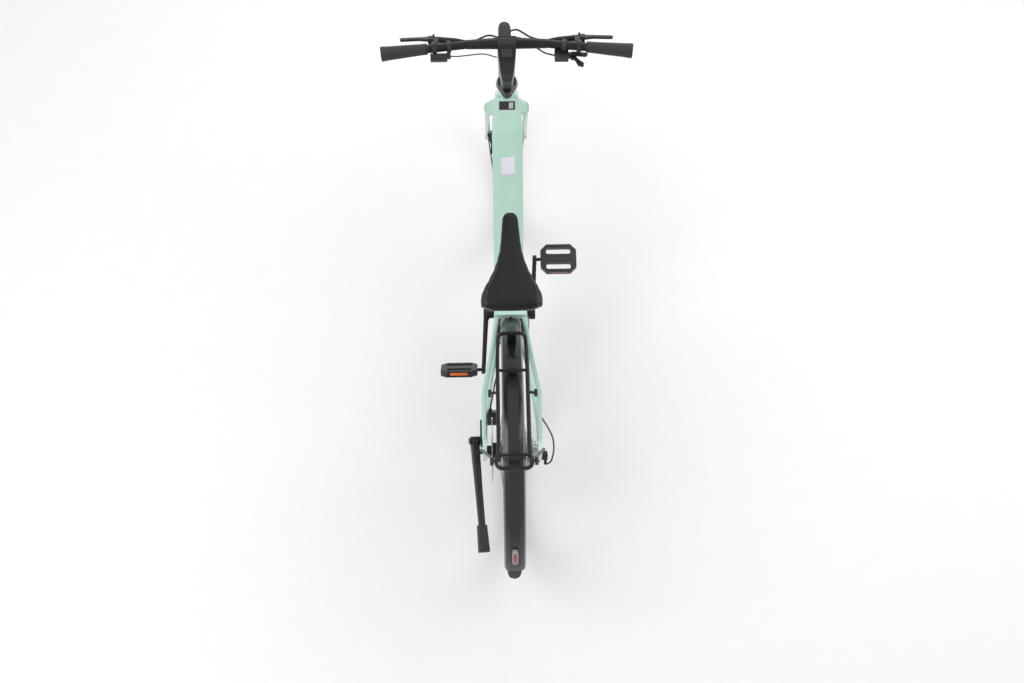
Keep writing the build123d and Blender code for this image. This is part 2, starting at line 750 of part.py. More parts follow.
def make_pedal(side, tilt, name):
    """A platform pedal with a window each side of its middle barrel and reflector slots."""
    tip = crank_tip[side]
    lean = math.radians(tilt)
    centre = Vector(pedal_centre * side, tip.Y, tip.Z)
    level = Plane(origin=centre, x_dir=across, z_dir=Vector(0.0, -math.sin(lean), math.cos(lean)))
    half_w = pedal_width / 2.0
    half_d = pedal_depth / 2.0
    corner = 18.0
    with BuildPart() as pedal:
        with BuildSketch(level.offset(-pedal_height / 2.0)) as outline:
            with BuildLine():
                Polyline(
                    (-half_w, -half_d + corner), (-half_w + corner, -half_d), (half_w - corner, -half_d),
                    (half_w, -half_d + corner), (half_w, half_d - corner), (half_w - corner, half_d),
                    (-half_w + corner, half_d), (-half_w, half_d - corner), close=True,
                )
            make_face()
            for window_y in (-24.0, 24.0):
                with Locations((0, window_y)):
                    RectangleRounded(pedal_width - 34.0, 20.0, 6.0, mode=Mode.SUBTRACT)
        extrude(outline.sketch, amount=pedal_height)
        with Locations(level):
            for slot_y in (-half_d, half_d):
                with Locations((0, slot_y, 0)):
                    Box(56.0, 7.0, 10.0, mode=Mode.SUBTRACT)
        disc(centre, centre.X - half_w - 1.0, centre.X + half_w + 1.0, pedal_spindle_radius + running_gap, mode=Mode.SUBTRACT)
    save(pedal, name)


make_pedal(1, 12.0, "pedal_right")
make_pedal(-1, -47.0, "pedal_left")

# ------------------------------------------------------------------ derailleur and chain
guide_centre = at(0, -chainstay_reach + 20.0, wheel_radius - 102.0)
tension_centre = at(0, -chainstay_reach + 44.0, wheel_radius - 176.0)
pulley_pitch = pitch_radius(pulley_teeth)
plate_gap = 4.2
for name, centre in (("guide_pulley", guide_centre), ("tension_pulley", tension_centre)):
    with BuildPart() as pulley:
        sprocket(centre, chainline, pulley_teeth, 2.0)
        disc(centre, chainline - plate_gap + 0.3, chainline + plate_gap - 0.3, 6.0)
        disc(centre, chainline - 6.0, chainline + 6.0, 3.0 + running_gap, mode=Mode.SUBTRACT)
    save(pulley, name)

with BuildPart() as derailleur_cage:
    for low_x in (chainline - plate_gap - 1.6, chainline + plate_gap):
        for centre in (guide_centre, tension_centre):
            disc(centre, low_x, low_x + 1.6, 15.0)
        direction = (tension_centre - guide_centre).normalized()
        length = (tension_centre - guide_centre).length
        middle = (tension_centre + guide_centre) * 0.5
        slab = Plane(origin=(low_x, middle.Y, middle.Z), x_dir=direction, z_dir=across)
        with BuildSketch(slab) as web:
            Rectangle(length, 18.0)
            RectangleRounded(length - 30.0, 9.0, 3.0, mode=Mode.SUBTRACT)
        extrude(web.sketch, amount=1.6)
    for centre in (guide_centre, tension_centre):
        disc(centre, chainline - plate_gap - 1.6, chainline + plate_gap + 1.6, 3.0)
save(derailleur_cage, "derailleur_cage")

hanger_point = at(0, -chainstay_reach - 8.0, wheel_radius - 22.0)
knuckle_low = chainline + plate_gap + 1.6 + clearance
with BuildPart() as derailleur_body:
    disc(guide_centre, knuckle_low, knuckle_low + 22.0, 15.0)
    disc(hanger_point, dropout_outer + 0.02, dropout_outer + 16.0, 13.0)
    rod(
        Vector(knuckle_low + 15.0, guide_centre.Y, guide_centre.Z),
        Vector(dropout_outer + 9.0, hanger_point.Y, hanger_point.Z), 9.0,
    )
    rod(
        Vector(dropout_outer + 10.0, hanger_point.Y - 2.0, hanger_point.Z - 4.0),
        Vector(dropout_outer + 10.0, hanger_point.Y - 22.0, hanger_point.Z - 12.0), 4.0,
    )
    add(chainstays.part, mode=Mode.SUBTRACT)
save(derailleur_body, "derailleur_body")


def chain_loop(rise):
    """Closed side outline of the chain, at a distance outside the line of its pins."""
    wraps = [
        (bracket, ring_pitch + rise), (tension_centre, pulley_pitch + rise),
        (guide_centre, -(pulley_pitch - rise)), (rear_axle_point, pitch_radius(cog_teeth) + rise),
    ]
    lines = []
    for index, (start, start_r) in enumerate(wraps):
        end, end_r = wraps[(index + 1) % len(wraps)]
        gap = end - start
        distance = math.hypot(gap.Y, gap.Z)
        heading = math.atan2(gap.Z, gap.Y) + math.asin((end_r - start_r) / distance)
        right = (math.sin(heading), -math.cos(heading))
        lines.append((
            (start.Y - start_r * right[0], start.Z - start_r * right[1]),
            (end.Y - end_r * right[0], end.Z - end_r * right[1]),
        ))
    with BuildLine(Plane.XY) as outline:
        for index, (leaving, arriving) in enumerate(lines):
            Line(leaving, arriving)
            centre, radius = wraps[(index + 1) % len(wraps)]
            following = lines[(index + 1) % len(lines)][0]
            first = math.atan2(arriving[1] - centre.Z, arriving[0] - centre.Y)
            last = math.atan2(following[1] - centre.Z, following[0] - centre.Y)
            sweep_angle = (last - first) % (2.0 * math.pi)
            if radius > 0.0:
                sweep_angle -= 2.0 * math.pi
            half = first + sweep_angle / 2.0
            size = abs(radius)
            ThreePointArc(
                arriving, (centre.Y + size * math.cos(half), centre.Z + size * math.sin(half)), following,
            )
    return outline.wire()


with BuildPart() as chain:
    for low_x in (chainline - 2.7, chainline + 1.5):
        with BuildSketch(Plane(origin=(low_x, 0, 0), x_dir=(0, 1, 0), z_dir=(1, 0, 0))) as links:
            make_face(chain_loop(4.0).edges())
            make_face(chain_loop(-4.0).edges(), mode=Mode.SUBTRACT)
        extrude(links.sketch, amount=1.2)
save(chain, "chain")

# ------------------------------------------------------------------ brake calipers
with BuildPart() as rear_caliper:
    caliper_centre = polar(rear_axle_point, rotor_radius + 4.0, 33.0, -rotor_offset)
    caliper_plane = Plane(
        origin=caliper_centre, x_dir=across, z_dir=(caliper_centre - Vector(-rotor_offset, rear_axle_point.Y, rear_axle_point.Z)),
    )
    with Locations(caliper_plane):
        Box(25.0, 46.0, 36.0)
        with Locations((0, 0, -14.0)):
            Box(3.4, 60.0, 36.0, mode=Mode.SUBTRACT)
        with Locations((-4.0, 0, 20.0)):
            Cylinder(5.0, 10.0)
    fillet(rear_caliper.edges().filter_by(Axis(caliper_centre, caliper_plane.y_dir)).group_by(SortBy.LENGTH)[-1][:1], 1.0)
    mount_start = polar(rear_axle_point, rotor_radius + 14.0, 24.0, -rotor_offset - 4.0)
    rod(mount_start, at(-(dropout_inner + 4.0), -chainstay_reach + 96.0, wheel_radius + 6.0), 4.0)
    add(chainstays.part, mode=Mode.SUBTRACT)
    add(seat_stays.part, mode=Mode.SUBTRACT)
save(rear_caliper, "rear_caliper")

# ------------------------------------------------------------------ fork and front end
fork_crown = head_bottom - 26.0
leg_top_x = 48.0
leg_foot_x = front_hub_half_width + 8.3
with BuildPart() as fork:
    rod(on(steer, 0, 0, fork_crown), on(steer, 0, 0, bar_up - 22.0), steerer_radius)
    with BuildSketch(steer.offset(fork_crown - 12.0)) as crown_low:
        RectangleRounded(2.0 * leg_top_x + 34.0, 40.0, 16.0)
    with BuildSketch(steer.offset(head_bottom - 1.0)) as crown_high:
        RectangleRounded(2.0 * head_radius + 8.0, 2.0 * head_radius, 20.0)
    loft([crown_low.sketch, crown_high.sketch])
    for side in (-1, 1):
        rod(
            on(steer, leg_top_x * side, 2.0, fork_crown - 4.0),
            on(steer, leg_foot_x * side, fork_offset - 5.0, 26.0), 16.0, 9.0,
        )
        low_x, high_x = sorted(((front_hub_half_width + 0.3) * side, (front_hub_half_width + 16.0) * side))
        disc(front_axle_point, low_x, high_x, 14.0)
        rod(
            on(steer, leg_foot_x * side, fork_offset - 5.0, 27.0),
            on(steer, leg_foot_x * side, fork_offset, 0.0), 7.9,
        )
    disc(front_axle_point, -front_hub_half_width - 20.0, front_hub_half_width + 20.0, axle_radius, mode=Mode.SUBTRACT)
    disc(front_axle_point, -front_hub_half_width - 0.2, front_hub_half_width + 0.2, wheel_radius + 15.0, mode=Mode.SUBTRACT)
save(fork, "fork")

with BuildPart() as front_axle:
    end_x = front_hub_half_width + 16.0
    disc(front_axle_point, -end_x, end_x, axle_radius)
save(front_axle, "front_axle")

with BuildPart() as front_caliper:
    caliper_centre = polar(front_axle_point, rotor_radius + 4.0, 146.0, -front_rotor_offset)
    caliper_plane = Plane(
        origin=caliper_centre, x_dir=across, z_dir=(caliper_centre - Vector(-front_rotor_offset, front_axle_point.Y, front_axle_point.Z)),
    )
    with Locations(caliper_plane):
        with Locations((-2.0, 0, 0)):
            Box(21.0, 48.0, 38.0)
        with Locations((0, 0, -14.0)):
            Box(3.4, 60.0, 38.0, mode=Mode.SUBTRACT)
        with Locations((-4.0, 0, 21.0)):
            Cylinder(5.0, 10.0)
    rod(
        polar(front_axle_point, rotor_radius + 12.0, 142.0, -front_rotor_offset - 8.0),
        polar(front_axle_point, rotor_radius + 12.0, 124.0, -leg_foot_x + 3.0), 5.0,
    )
    add(fork.part, mode=Mode.SUBTRACT)
save(front_caliper, "front_caliper")

with BuildPart() as front_fender:
    fender_arc(front_axle_point, front_fender_radius, front_fender_width, front_fender_start, front_fender_end)
    rod(
        polar(front_axle_point, front_fender_radius - 1.0, 114.0),
        polar(front_axle_point, front_fender_radius + 40.0, 114.0), 7.0,
    )
    for side in (-1, 1):
        rod(
            polar(front_axle_point, front_fender_radius - 12.0, front_fender_end - 10.0, (front_fender_width / 2.0 - 1.0) * side),
            on(steer, (leg_foot_x - 2.0) * side, fork_offset - 8.0, -4.0), 2.0,
        )
    add(fork.part, mode=Mode.SUBTRACT)
save(front_fender, "front_fender")

with BuildPart() as headlight:
    lamp_centre = on(steer, 0, 52.0, head_bottom - 4.0)
    lamp = Plane(origin=lamp_centre, x_dir=across, z_dir=(0, 1, 0))
    with BuildSketch(lamp.offset(-14.0)) as lamp_back:
        Circle(13.0)
    with BuildSketch(lamp.offset(20.0)) as lamp_front:
        Circle(19.0)
    loft([lamp_back.sketch, lamp_front.sketch])
    rod(on(steer, 0, 18.0, head_bottom - 12.0), lamp_centre, 5.0)
    add(fork.part, mode=Mode.SUBTRACT)
save(headlight, "headlight")

# ------------------------------------------------------------------ cockpit
bar_taper_x = 106.0
clamp_half_width = 20.0
clamp_radius = bar_radius + 1.5
bar_step = 0.9
grip_bore = bar_end_radius + 0.05


def bar_point(x):
    """The centre of the handlebar at a distance from the middle, swept back and slightly up."""
    size = abs(x)
    if size <= bar_taper_x:
        share = size / bar_taper_x
        return on(steer, x, bar_forward - 3.5 * share, bar_up + share)
    share = (size - bar_taper_x) / (bar_half_span - bar_taper_x)
    return on(steer, x, bar_forward - 3.5 - (bar_sweep - 3.5) * share, bar_up + 1.0 + 9.0 * share)


bar_end_x = bar_half_span - 2.5
stem_top = 745.0
stem_low = head_top + cover_height + 0.3
with BuildPart() as cockpit:
    stem_profile = [
        (bar_forward + 14.0, bar_up + 14.0), (bar_forward - 12.0, stem_top), (0.0, stem_top),
        (-18.0, stem_top - 11.0), (-27.0, stem_top - 50.0), (-24.0, stem_low), (24.0, stem_low),
        (33.0, bar_up - 66.0), (bar_forward - 8.0, bar_up - 22.0), (bar_forward + 14.0, bar_up - 14.0),
    ]
    side_view = Plane(origin=steer_foot - across * 25.0, x_dir=steer_forward, z_dir=across)
    with BuildSketch(side_view) as stem_side:
        with BuildLine():
            Polyline(*stem_profile, close=True)
        make_face()
    extrude(stem_side.sketch, amount=50.0)
    with BuildSketch(steer.offset(stem_low - 5.0)) as stem_plan:
        with BuildLine():
            Polyline(
                (-24.5, bar_forward + 20.0), (24.5, bar_forward + 20.0), (24.5, bar_forward - 20.0),
                (19.5, 2.0), (17.0, -16.0), (10.0, -30.0), (-10.0, -30.0), (-17.0, -16.0), (-19.5, 2.0),
                (-24.5, bar_forward - 20.0), close=True,
            )
        make_face()
    extrude(stem_plan.sketch, amount=140.0, mode=Mode.INTERSECT)
    rod(bar_point(-clamp_half_width), bar_point(clamp_half_width), clamp_radius)
    for side in (-1, 1):
        bend = bar_point(bar_taper_x * side)
        bar_end = bar_point(bar_end_x * side)
        rod(bar_point(0.0), bend, bar_radius, bar_end_radius + bar_step)
        rod(bend - (bar_end - bend).normalized() * 3.0, bar_end, bar_end_radius)
    rod(on(steer, 0, 0, stem_low - 1.0), on(steer, 0, 0, bar_up - 21.0), steerer_radius + 0.02, mode=Mode.SUBTRACT)
    with Locations(steer):
        with Locations((0, 34.0, stem_top - 3.0)):
            Box(27.4, 22.4, 8.0, align=(Align.CENTER, Align.CENTER, Align.MIN), mode=Mode.SUBTRACT)
save(cockpit, "cockpit")

with BuildPart() as display:
    with Locations(steer):
        with Locations((0, 34.0, stem_top - 3.0)):
            Box(27.0, 22.0, 3.8, align=(Align.CENTER, Align.CENTER, Align.MIN))
save(display, "display")

grip_inner_x = bar_half_span - grip_length
with BuildPart() as grips:
    for side in (-1, 1):
        inner = bar_point(grip_inner_x * side)
        outer = bar_point(bar_end_x * side)
        rod(inner, outer, 14.6, 19.6)
        cap_direction = (outer - inner).normalized()
        rod(outer, outer + cap_direction * 2.0, 18.6)
        rod(inner - cap_direction * 5.0, outer, grip_bore, mode=Mode.SUBTRACT)
save(grips, "grips")

# ------------------------------------------------------------------ hand controls
control_tilt = math.radians(17.0)
control_up = Vector(0.0, math.sin(control_tilt), math.cos(control_tilt))
lever_reach = 44.0


def control_plane(side):
    """A plane at the brake clamp: X outboard-neutral, Y ahead of the bar, Z up."""
    return Plane(origin=bar_point(190.0 * side), x_dir=across, z_dir=control_up)


pivot_offset = 8.0
cylinder_radius = 7.5
shoulder_share = 0.66
with BuildPart() as brake_bodies:
    for side in (-1, 1):
        plane = control_plane(side)
        bar_here = bar_point(184.0 * side)
        bar_next = bar_point(196.0 * side)
        rod(bar_here, bar_next, 17.0)
        with Locations(plane):
            with Locations((-4.0 * side, 24.0, 2.0)):
                Box(14.0, 26.0, 14.0)
            with Locations((pivot_offset * side, lever_reach - 4.0, 6.0)):
                Box(18.0, 17.0, 4.0)
            with Locations((pivot_offset * side, lever_reach - 4.0, -6.0)):
                Box(18.0, 17.0, 4.0)
        cylinder_start = on(plane, -2.0 * side, 40.0, 1.0)
        cylinder_tip = on(plane, -84.0 * side, 30.0, 0.0)
        shoulder = cylinder_start + (cylinder_tip - cylinder_start) * shoulder_share
        rod(cylinder_start, shoulder, 8.5, cylinder_radius)
        rod(shoulder, cylinder_tip, cylinder_radius, 4.0)
        rod(on(plane, 2.0 * side, 40.0, 7.0), on(plane, 2.0 * side, 46.0, 13.0), 3.0)
        rod(bar_point(170.0 * side), bar_point(210.0 * side), grip_bore, mode=Mode.SUBTRACT)
        with Locations(plane):
            with Locations((30.0 * side, lever_reach, 0.0)):
                Box(60.0, 60.0, 8.0 - 0.2, align=(Align.CENTER, Align.CENTER, Align.CENTER), mode=Mode.SUBTRACT)
        rod(
            on(plane, pivot_offset * side, lever_reach - 2.0, -7.9), on(plane, pivot_offset * side, lever_reach - 2.0, 7.9), 2.5,
        )
save(brake_bodies, "brake_bodies")


def make_lever(side, name):
    """A two-finger brake lever on its vertical pin."""
    plane = control_plane(side)
    with BuildPart() as lever:
        with BuildSketch(plane.offset(-3.4)) as blade:
            with BuildLine():
                Polyline(
                    (2.0 * side, lever_reach - 10.0), (14.0 * side, lever_reach - 8.0), (40.0 * side, lever_reach - 3.0),
                    (88.0 * side, lever_reach - 6.0), (92.0 * side, lever_reach - 1.0),
                    (88.0 * side, lever_reach + 3.0), (36.0 * side, lever_reach + 6.0),
                    (12.0 * side, lever_reach + 8.0), (2.5 * side, lever_reach + 4.0), close=True,
                )
            make_face()
        extrude(blade.sketch, amount=6.8)
        rod(
            on(plane, pivot_offset * side, lever_reach - 2.0, -9.0), on(plane, pivot_offset * side, lever_reach - 2.0, 9.0),
            2.5 + running_gap, mode=Mode.SUBTRACT,
        )
    save(lever, name)


make_lever(-1, "brake_lever_left")
make_lever(1, "brake_lever_right")

shift_x = 150.0
shift_centre = bar_point(shift_x)
shift = Plane(origin=shift_centre, x_dir=across, z_dir=(0, 0, 1))
paddle_pin = on(shift, 24.0, -14.0, -34.0)
trigger_pin = on(shift, 24.0, -8.0, -25.0)
with BuildPart() as shifter_body:
    rod(bar_point(shift_x - 6.0), bar_point(shift_x + 6.0), 16.0)
    with Locations(shift):
        with Locations((-6.0, -14.0, -22.0)):
            Box(36.0, 30.0, 20.0)
        with Locations((21.0, -10.0, -29.5)):
            Box(26.0, 20.0, 3.0)
        with Locations((0.0, -4.0, -12.0)):
            Box(12.0, 12.0, 10.0)
    for pin, low, high in ((paddle_pin, -4.0, 4.0), (trigger_pin, -4.0, 3.5)):
        rod(pin + Vector(0, 0, low), pin + Vector(0, 0, high), 2.0)
    rod(bar_point(shift_x - 20.0), bar_point(shift_x + 20.0), grip_bore, mode=Mode.SUBTRACT)
save(shifter_body, "shifter_body")


def make_trigger(pin, low, high, outline, name):
    """A thumb lever turning on an upright pin."""
    with BuildPart() as trigger:
        with BuildSketch(Plane(origin=(pin.X, pin.Y, pin.Z + low))) as plan:
            with BuildLine():
                Polyline(*outline, close=True)
            make_face()
        extrude(plan.sketch, amount=high - low)
        rod(pin + Vector(0, 0, low - 1.0), pin + Vector(0, 0, high + 1.0), 2.0 + running_gap, mode=Mode.SUBTRACT)
    save(trigger, name)


make_trigger(
    paddle_pin, -3.4, 2.6,
    [(-5.0, -5.0), (5.0, -6.0), (14.0, -26.0), (27.0, -30.0), (29.0, -20.0), (16.0, -8.0), (6.0, 5.0), (-5.0, 5.0)],
    "shift_paddle",
)
make_trigger(
    trigger_pin, -2.6, 3.0,
    [(-5.0, -5.0), (5.0, -6.0), (34.0, -10.0), (40.0, -3.0), (34.0, 1.0), (5.0, 5.0), (-5.0, 5.0)],
    "shift_trigger",
)

remote_x = -178.0
button_travel = 1.2
button_low = 2.5
button_pocket_low = button_low - button_travel - clearance
button_pocket_high = 8.0
remote_centre = bar_point(remote_x)
remote = Plane(origin=remote_centre, x_dir=across, z_dir=(0, -math.sin(math.radians(25.0)), math.cos(math.radians(25.0))))
with BuildPart() as remote_pod:
    with Locations(remote):
        with Locations((0.0, -26.0, -2.0)):
            Box(44.0, 20.0, 14.0)
        with Locations((26.0, -12.0, -2.0)):
            Box(10.0, 34.0, 10.0)
        with Locations((0.0, -26.0, (button_pocket_low + button_pocket_high) / 2.0)):
            Box(30.6, 11.6, button_pocket_high - button_pocket_low, mode=Mode.SUBTRACT)
    rod(bar_point(remote_x + 21.0), bar_point(remote_x + 31.0), 15.5)
    rod(bar_point(remote_x - 60.0), bar_point(remote_x + 60.0), grip_bore, mode=Mode.SUBTRACT)
    rod(bar_point(-197.0), bar_point(-183.0), 17.4, mode=Mode.SUBTRACT)
save(remote_pod, "remote_pod")

with BuildPart() as remote_button:
    with Locations(remote):
        with Locations((0.0, -26.0, button_low + 1.5)):
            Box(30.0, 11.0, 3.0)
        for button_x in (-8.0, 8.0):
            with Locations((button_x, -26.0, 6.0)):
                Cylinder(4.0, 1.6)
save(remote_button, "remote_button")

# ------------------------------------------------------------------ kickstand
stand_pivot = at(-106.0, -chainstay_reach + 40.0, wheel_radius - 23.0)
stowed = Vector(23.0, -301.0, -72.0).normalized()
lowered = Vector(-85.0, -20.0, -297.0).normalized()
stand_axis = stowed.cross(lowered).normalized()
stand_swing = stowed.get_angle(lowered)
stand_plane = Plane(origin=stand_pivot, x_dir=stand_axis, z_dir=stowed)
barrel_half = 12.0
pin_radius = 5.0
with BuildPart() as kickstand_mount:
    rod(stand_pivot + stand_axis * (barrel_half + 0.3), stand_pivot + stand_axis * (barrel_half + 8.0), 13.0)
    rod(stand_pivot - stand_axis * (barrel_half + 0.3), stand_pivot + stand_axis * (barrel_half + 1.0), pin_radius)
    rod(stand_pivot - stand_axis * (barrel_half + 4.0), stand_pivot - stand_axis * (barrel_half + 0.3), 8.5)
    flat(
        [
            (stand_pivot.Y - 14.0, stand_pivot.Z - 12.0), (stand_pivot.Y + 12.0, stand_pivot.Z - 12.0),
            (stand_pivot.Y + 56.0, stand_pivot.Z + 14.0), (stand_pivot.Y + 52.0, stand_pivot.Z + 30.0),
            (stand_pivot.Y - 14.0, stand_pivot.Z + 16.0),
        ],
        stand_pivot.X + barrel_half + 4.0, -dropout_outer - 0.02,
    )
    add(chainstays.part, mode=Mode.SUBTRACT)
save(kickstand_mount, "kickstand_mount")

leg_bore_clearance = 0.06
with BuildPart() as kickstand_leg:
    rod(stand_pivot - stand_axis * barrel_half, stand_pivot + stand_axis * barrel_half, 13.0)
    with BuildSketch(stand_plane.offset(4.0)) as leg_root:
        RectangleRounded(23.0, 27.0, 6.0)
    with BuildSketch(stand_plane.offset(120.0)) as leg_knee:
        RectangleRounded(20.0, 20.0, 6.0)
    with BuildSketch(stand_plane.offset(kickstand_reach)) as leg_end:
        RectangleRounded(18.0, 16.0, 5.0)
    loft([leg_root.sketch, leg_knee.sketch, leg_end.sketch], ruled=True)
    rod(
        stand_pivot - stand_axis * (barrel_half + 1.0), stand_pivot + stand_axis * (barrel_half + 1.0),
        pin_radius + leg_bore_clearance, mode=Mode.SUBTRACT,
    )
save(kickstand_leg, "kickstand_leg")

with BuildPart() as kickstand_foot:
    foot_start = kickstand_reach - 24.0
    foot_end = kickstand_reach + kickstand_foot_length - 14.0
    with BuildSketch(stand_plane.offset(foot_start)) as sleeve:
        RectangleRounded(27.0, 25.0, 8.0)
    with BuildSketch(stand_plane.offset(foot_end)) as sole:
        RectangleRounded(31.0, 27.0, 8.0)
    loft([sleeve.sketch, sole.sketch])
    with BuildSketch(stand_plane.offset(foot_start)) as sleeve_bore:
        RectangleRounded(19.8, 17.8, 5.0)
    extrude(sleeve_bore.sketch, amount=28.0, mode=Mode.SUBTRACT)
    add(kickstand_leg.part, mode=Mode.SUBTRACT)
save(kickstand_foot, "kickstand_foot")

# ------------------------------------------------------------------ hoses and cables
stem_front = on(steer, 0, bar_forward + 14.0, bar_up + 6.0)
right_plane = control_plane(1)
left_plane = control_plane(-1)
right_body_end = on(right_plane, -84.0, 30.0, 0.0)
left_body_end = on(left_plane, 84.0, 30.0, 0.0)
right_hose = [
    stem_front + Vector(-8.0, 0.3, -4.0), stem_front + Vector(-2.0, 11.0, -2.0),
    stem_front + Vector(9.0, 21.0, 0.0), stem_front + Vector(28.0, 26.0, 0.5),
    right_body_end + Vector(-44.0, 10.0, 3.0), right_body_end + Vector(-20.0, 3.0, 1.0), right_body_end + Vector(-0.3, 0.0, 0.0),
]
left_hose = [
    stem_front + Vector(-16.0, 0.3, -10.0), stem_front + Vector(-22.0, 6.8, -10.0),
    stem_front + Vector(-34.0, 13.5, -10.2), stem_front + Vector(-50.0, 16.5, -10.4), left_body_end + Vector(22.0, 5.0, -3.0), left_body_end + Vector(0.3, 0.0, 0.0),
]
shift_route = [
    stem_front + Vector(4.0, 0.3, -12.0), stem_front + Vector(9.6, 7.8, -13.6),
    stem_front + Vector(19.0, 13.6, -16.2), stem_front + Vector(32.0, 15.8, -20.0),
    stem_front + Vector(48.0, 11.6, -25.0),
    on(shift, -50.0, 2.0, -32.0), on(shift, -34.0, -8.0, -27.0), on(shift, -24.3, -14.0, -23.0),
]
remote_route = [
    on(remote, 31.3, -22.0, -4.0), on(remote, 50.0, -22.0, -6.0),
    on(steer, -60.0, bar_forward - 20.0, bar_up - 20.0), on(steer, -26.0, bar_forward - 30.0, bar_up - 24.0),
]
with BuildPart() as cockpit_cables:
    for route, radius in ((right_hose, 2.5), (left_hose, 2.5), (shift_route, 2.2), (remote_route, 1.6)):
        print("cockpit cable bends", [round(r) for r in bend_radii(route)])
        pipe(route, radius)
    for other in (cockpit, brake_bodies, shifter_body, remote_pod):
        add(other.part, mode=Mode.SUBTRACT)
save(cockpit_cables, "cockpit_cables")

gear_route = [
    at(dropout_outer - 3.0, -348.0, wheel_radius - 20.0), at(dropout_outer + 5.0, -374.0, wheel_radius - 10.0),
    at(dropout_outer + 20.0, -402.0, wheel_radius - 6.0), at(dropout_outer + 34.0, -436.0, wheel_radius - 6.0),
    at(dropout_outer + 35.0, -470.0, wheel_radius - 16.0), at(dropout_outer + 26.0, -498.0, wheel_radius - 30.0),
    Vector(dropout_outer + 10.0, hanger_point.Y - 22.3, hanger_point.Z - 12.2),
]
brake_route = [
    at(-36.0, -212.0, wheel_radius - 34.0), at(-44.0, -246.0, wheel_radius - 12.0),
    at(-49.0, -290.0, wheel_radius + 22.0), at(-54.0, -334.0, wheel_radius + 52.0),
    at(-57.0, -352.0, wheel_radius + 62.0), polar(rear_axle_point, rotor_radius + 27.0, 33.0, -rotor_offset - 4.0),
]
with BuildPart() as frame_cables:
    for route, radius in ((gear_route, 2.2), (brake_route, 2.5)):
        print("frame cable bends", [round(r) for r in bend_radii(route)])
        pipe(route, radius)
    for other in (chainstays, seat_stays, derailleur_body, rear_caliper):
        add(other.part, mode=Mode.SUBTRACT)
save(frame_cables, "frame_cables")
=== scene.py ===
import json
import math

import bmesh
import bpy
from mathutils import Matrix, Vector


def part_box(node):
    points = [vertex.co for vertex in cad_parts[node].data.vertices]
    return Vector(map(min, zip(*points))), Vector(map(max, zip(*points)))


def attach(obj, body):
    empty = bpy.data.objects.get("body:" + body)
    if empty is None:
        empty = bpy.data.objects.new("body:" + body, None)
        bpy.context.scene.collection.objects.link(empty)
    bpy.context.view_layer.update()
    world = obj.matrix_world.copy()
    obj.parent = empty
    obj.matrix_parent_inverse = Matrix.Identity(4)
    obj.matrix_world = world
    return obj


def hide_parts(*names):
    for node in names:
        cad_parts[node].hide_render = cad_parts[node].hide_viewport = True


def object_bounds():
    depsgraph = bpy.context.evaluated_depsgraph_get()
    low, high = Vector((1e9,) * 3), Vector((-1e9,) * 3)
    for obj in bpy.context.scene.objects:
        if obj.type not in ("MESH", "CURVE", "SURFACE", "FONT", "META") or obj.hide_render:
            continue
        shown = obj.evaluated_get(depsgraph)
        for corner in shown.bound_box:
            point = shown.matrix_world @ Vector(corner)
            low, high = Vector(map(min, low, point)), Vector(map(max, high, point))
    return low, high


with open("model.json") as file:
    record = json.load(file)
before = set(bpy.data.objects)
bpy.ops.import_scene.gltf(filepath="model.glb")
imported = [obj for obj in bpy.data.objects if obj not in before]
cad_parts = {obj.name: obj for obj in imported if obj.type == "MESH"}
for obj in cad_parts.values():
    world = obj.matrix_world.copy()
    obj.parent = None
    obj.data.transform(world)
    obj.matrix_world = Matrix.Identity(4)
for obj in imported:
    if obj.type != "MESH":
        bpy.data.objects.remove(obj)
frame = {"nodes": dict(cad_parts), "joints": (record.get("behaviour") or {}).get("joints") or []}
cad_low, cad_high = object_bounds()

nodes = frame["nodes"]
joints = {joint["name"]: joint for joint in frame["joints"]}
ACROSS = Vector((1, 0, 0))
UP = Vector((0, 0, 1))
TURN = 2.0 * math.pi

rear_axle = Vector(joints["rear_wheel_spin"]["pos_m"])
front_axle = Vector(joints["front_wheel_spin"]["pos_m"])
bracket = Vector(joints["crank_spin"]["pos_m"])
steer_up = Vector(joints["steering"]["axis"]).normalized()
steer_forward = steer_up.cross(ACROSS)
if steer_forward.y < 0:
    steer_forward.negate()


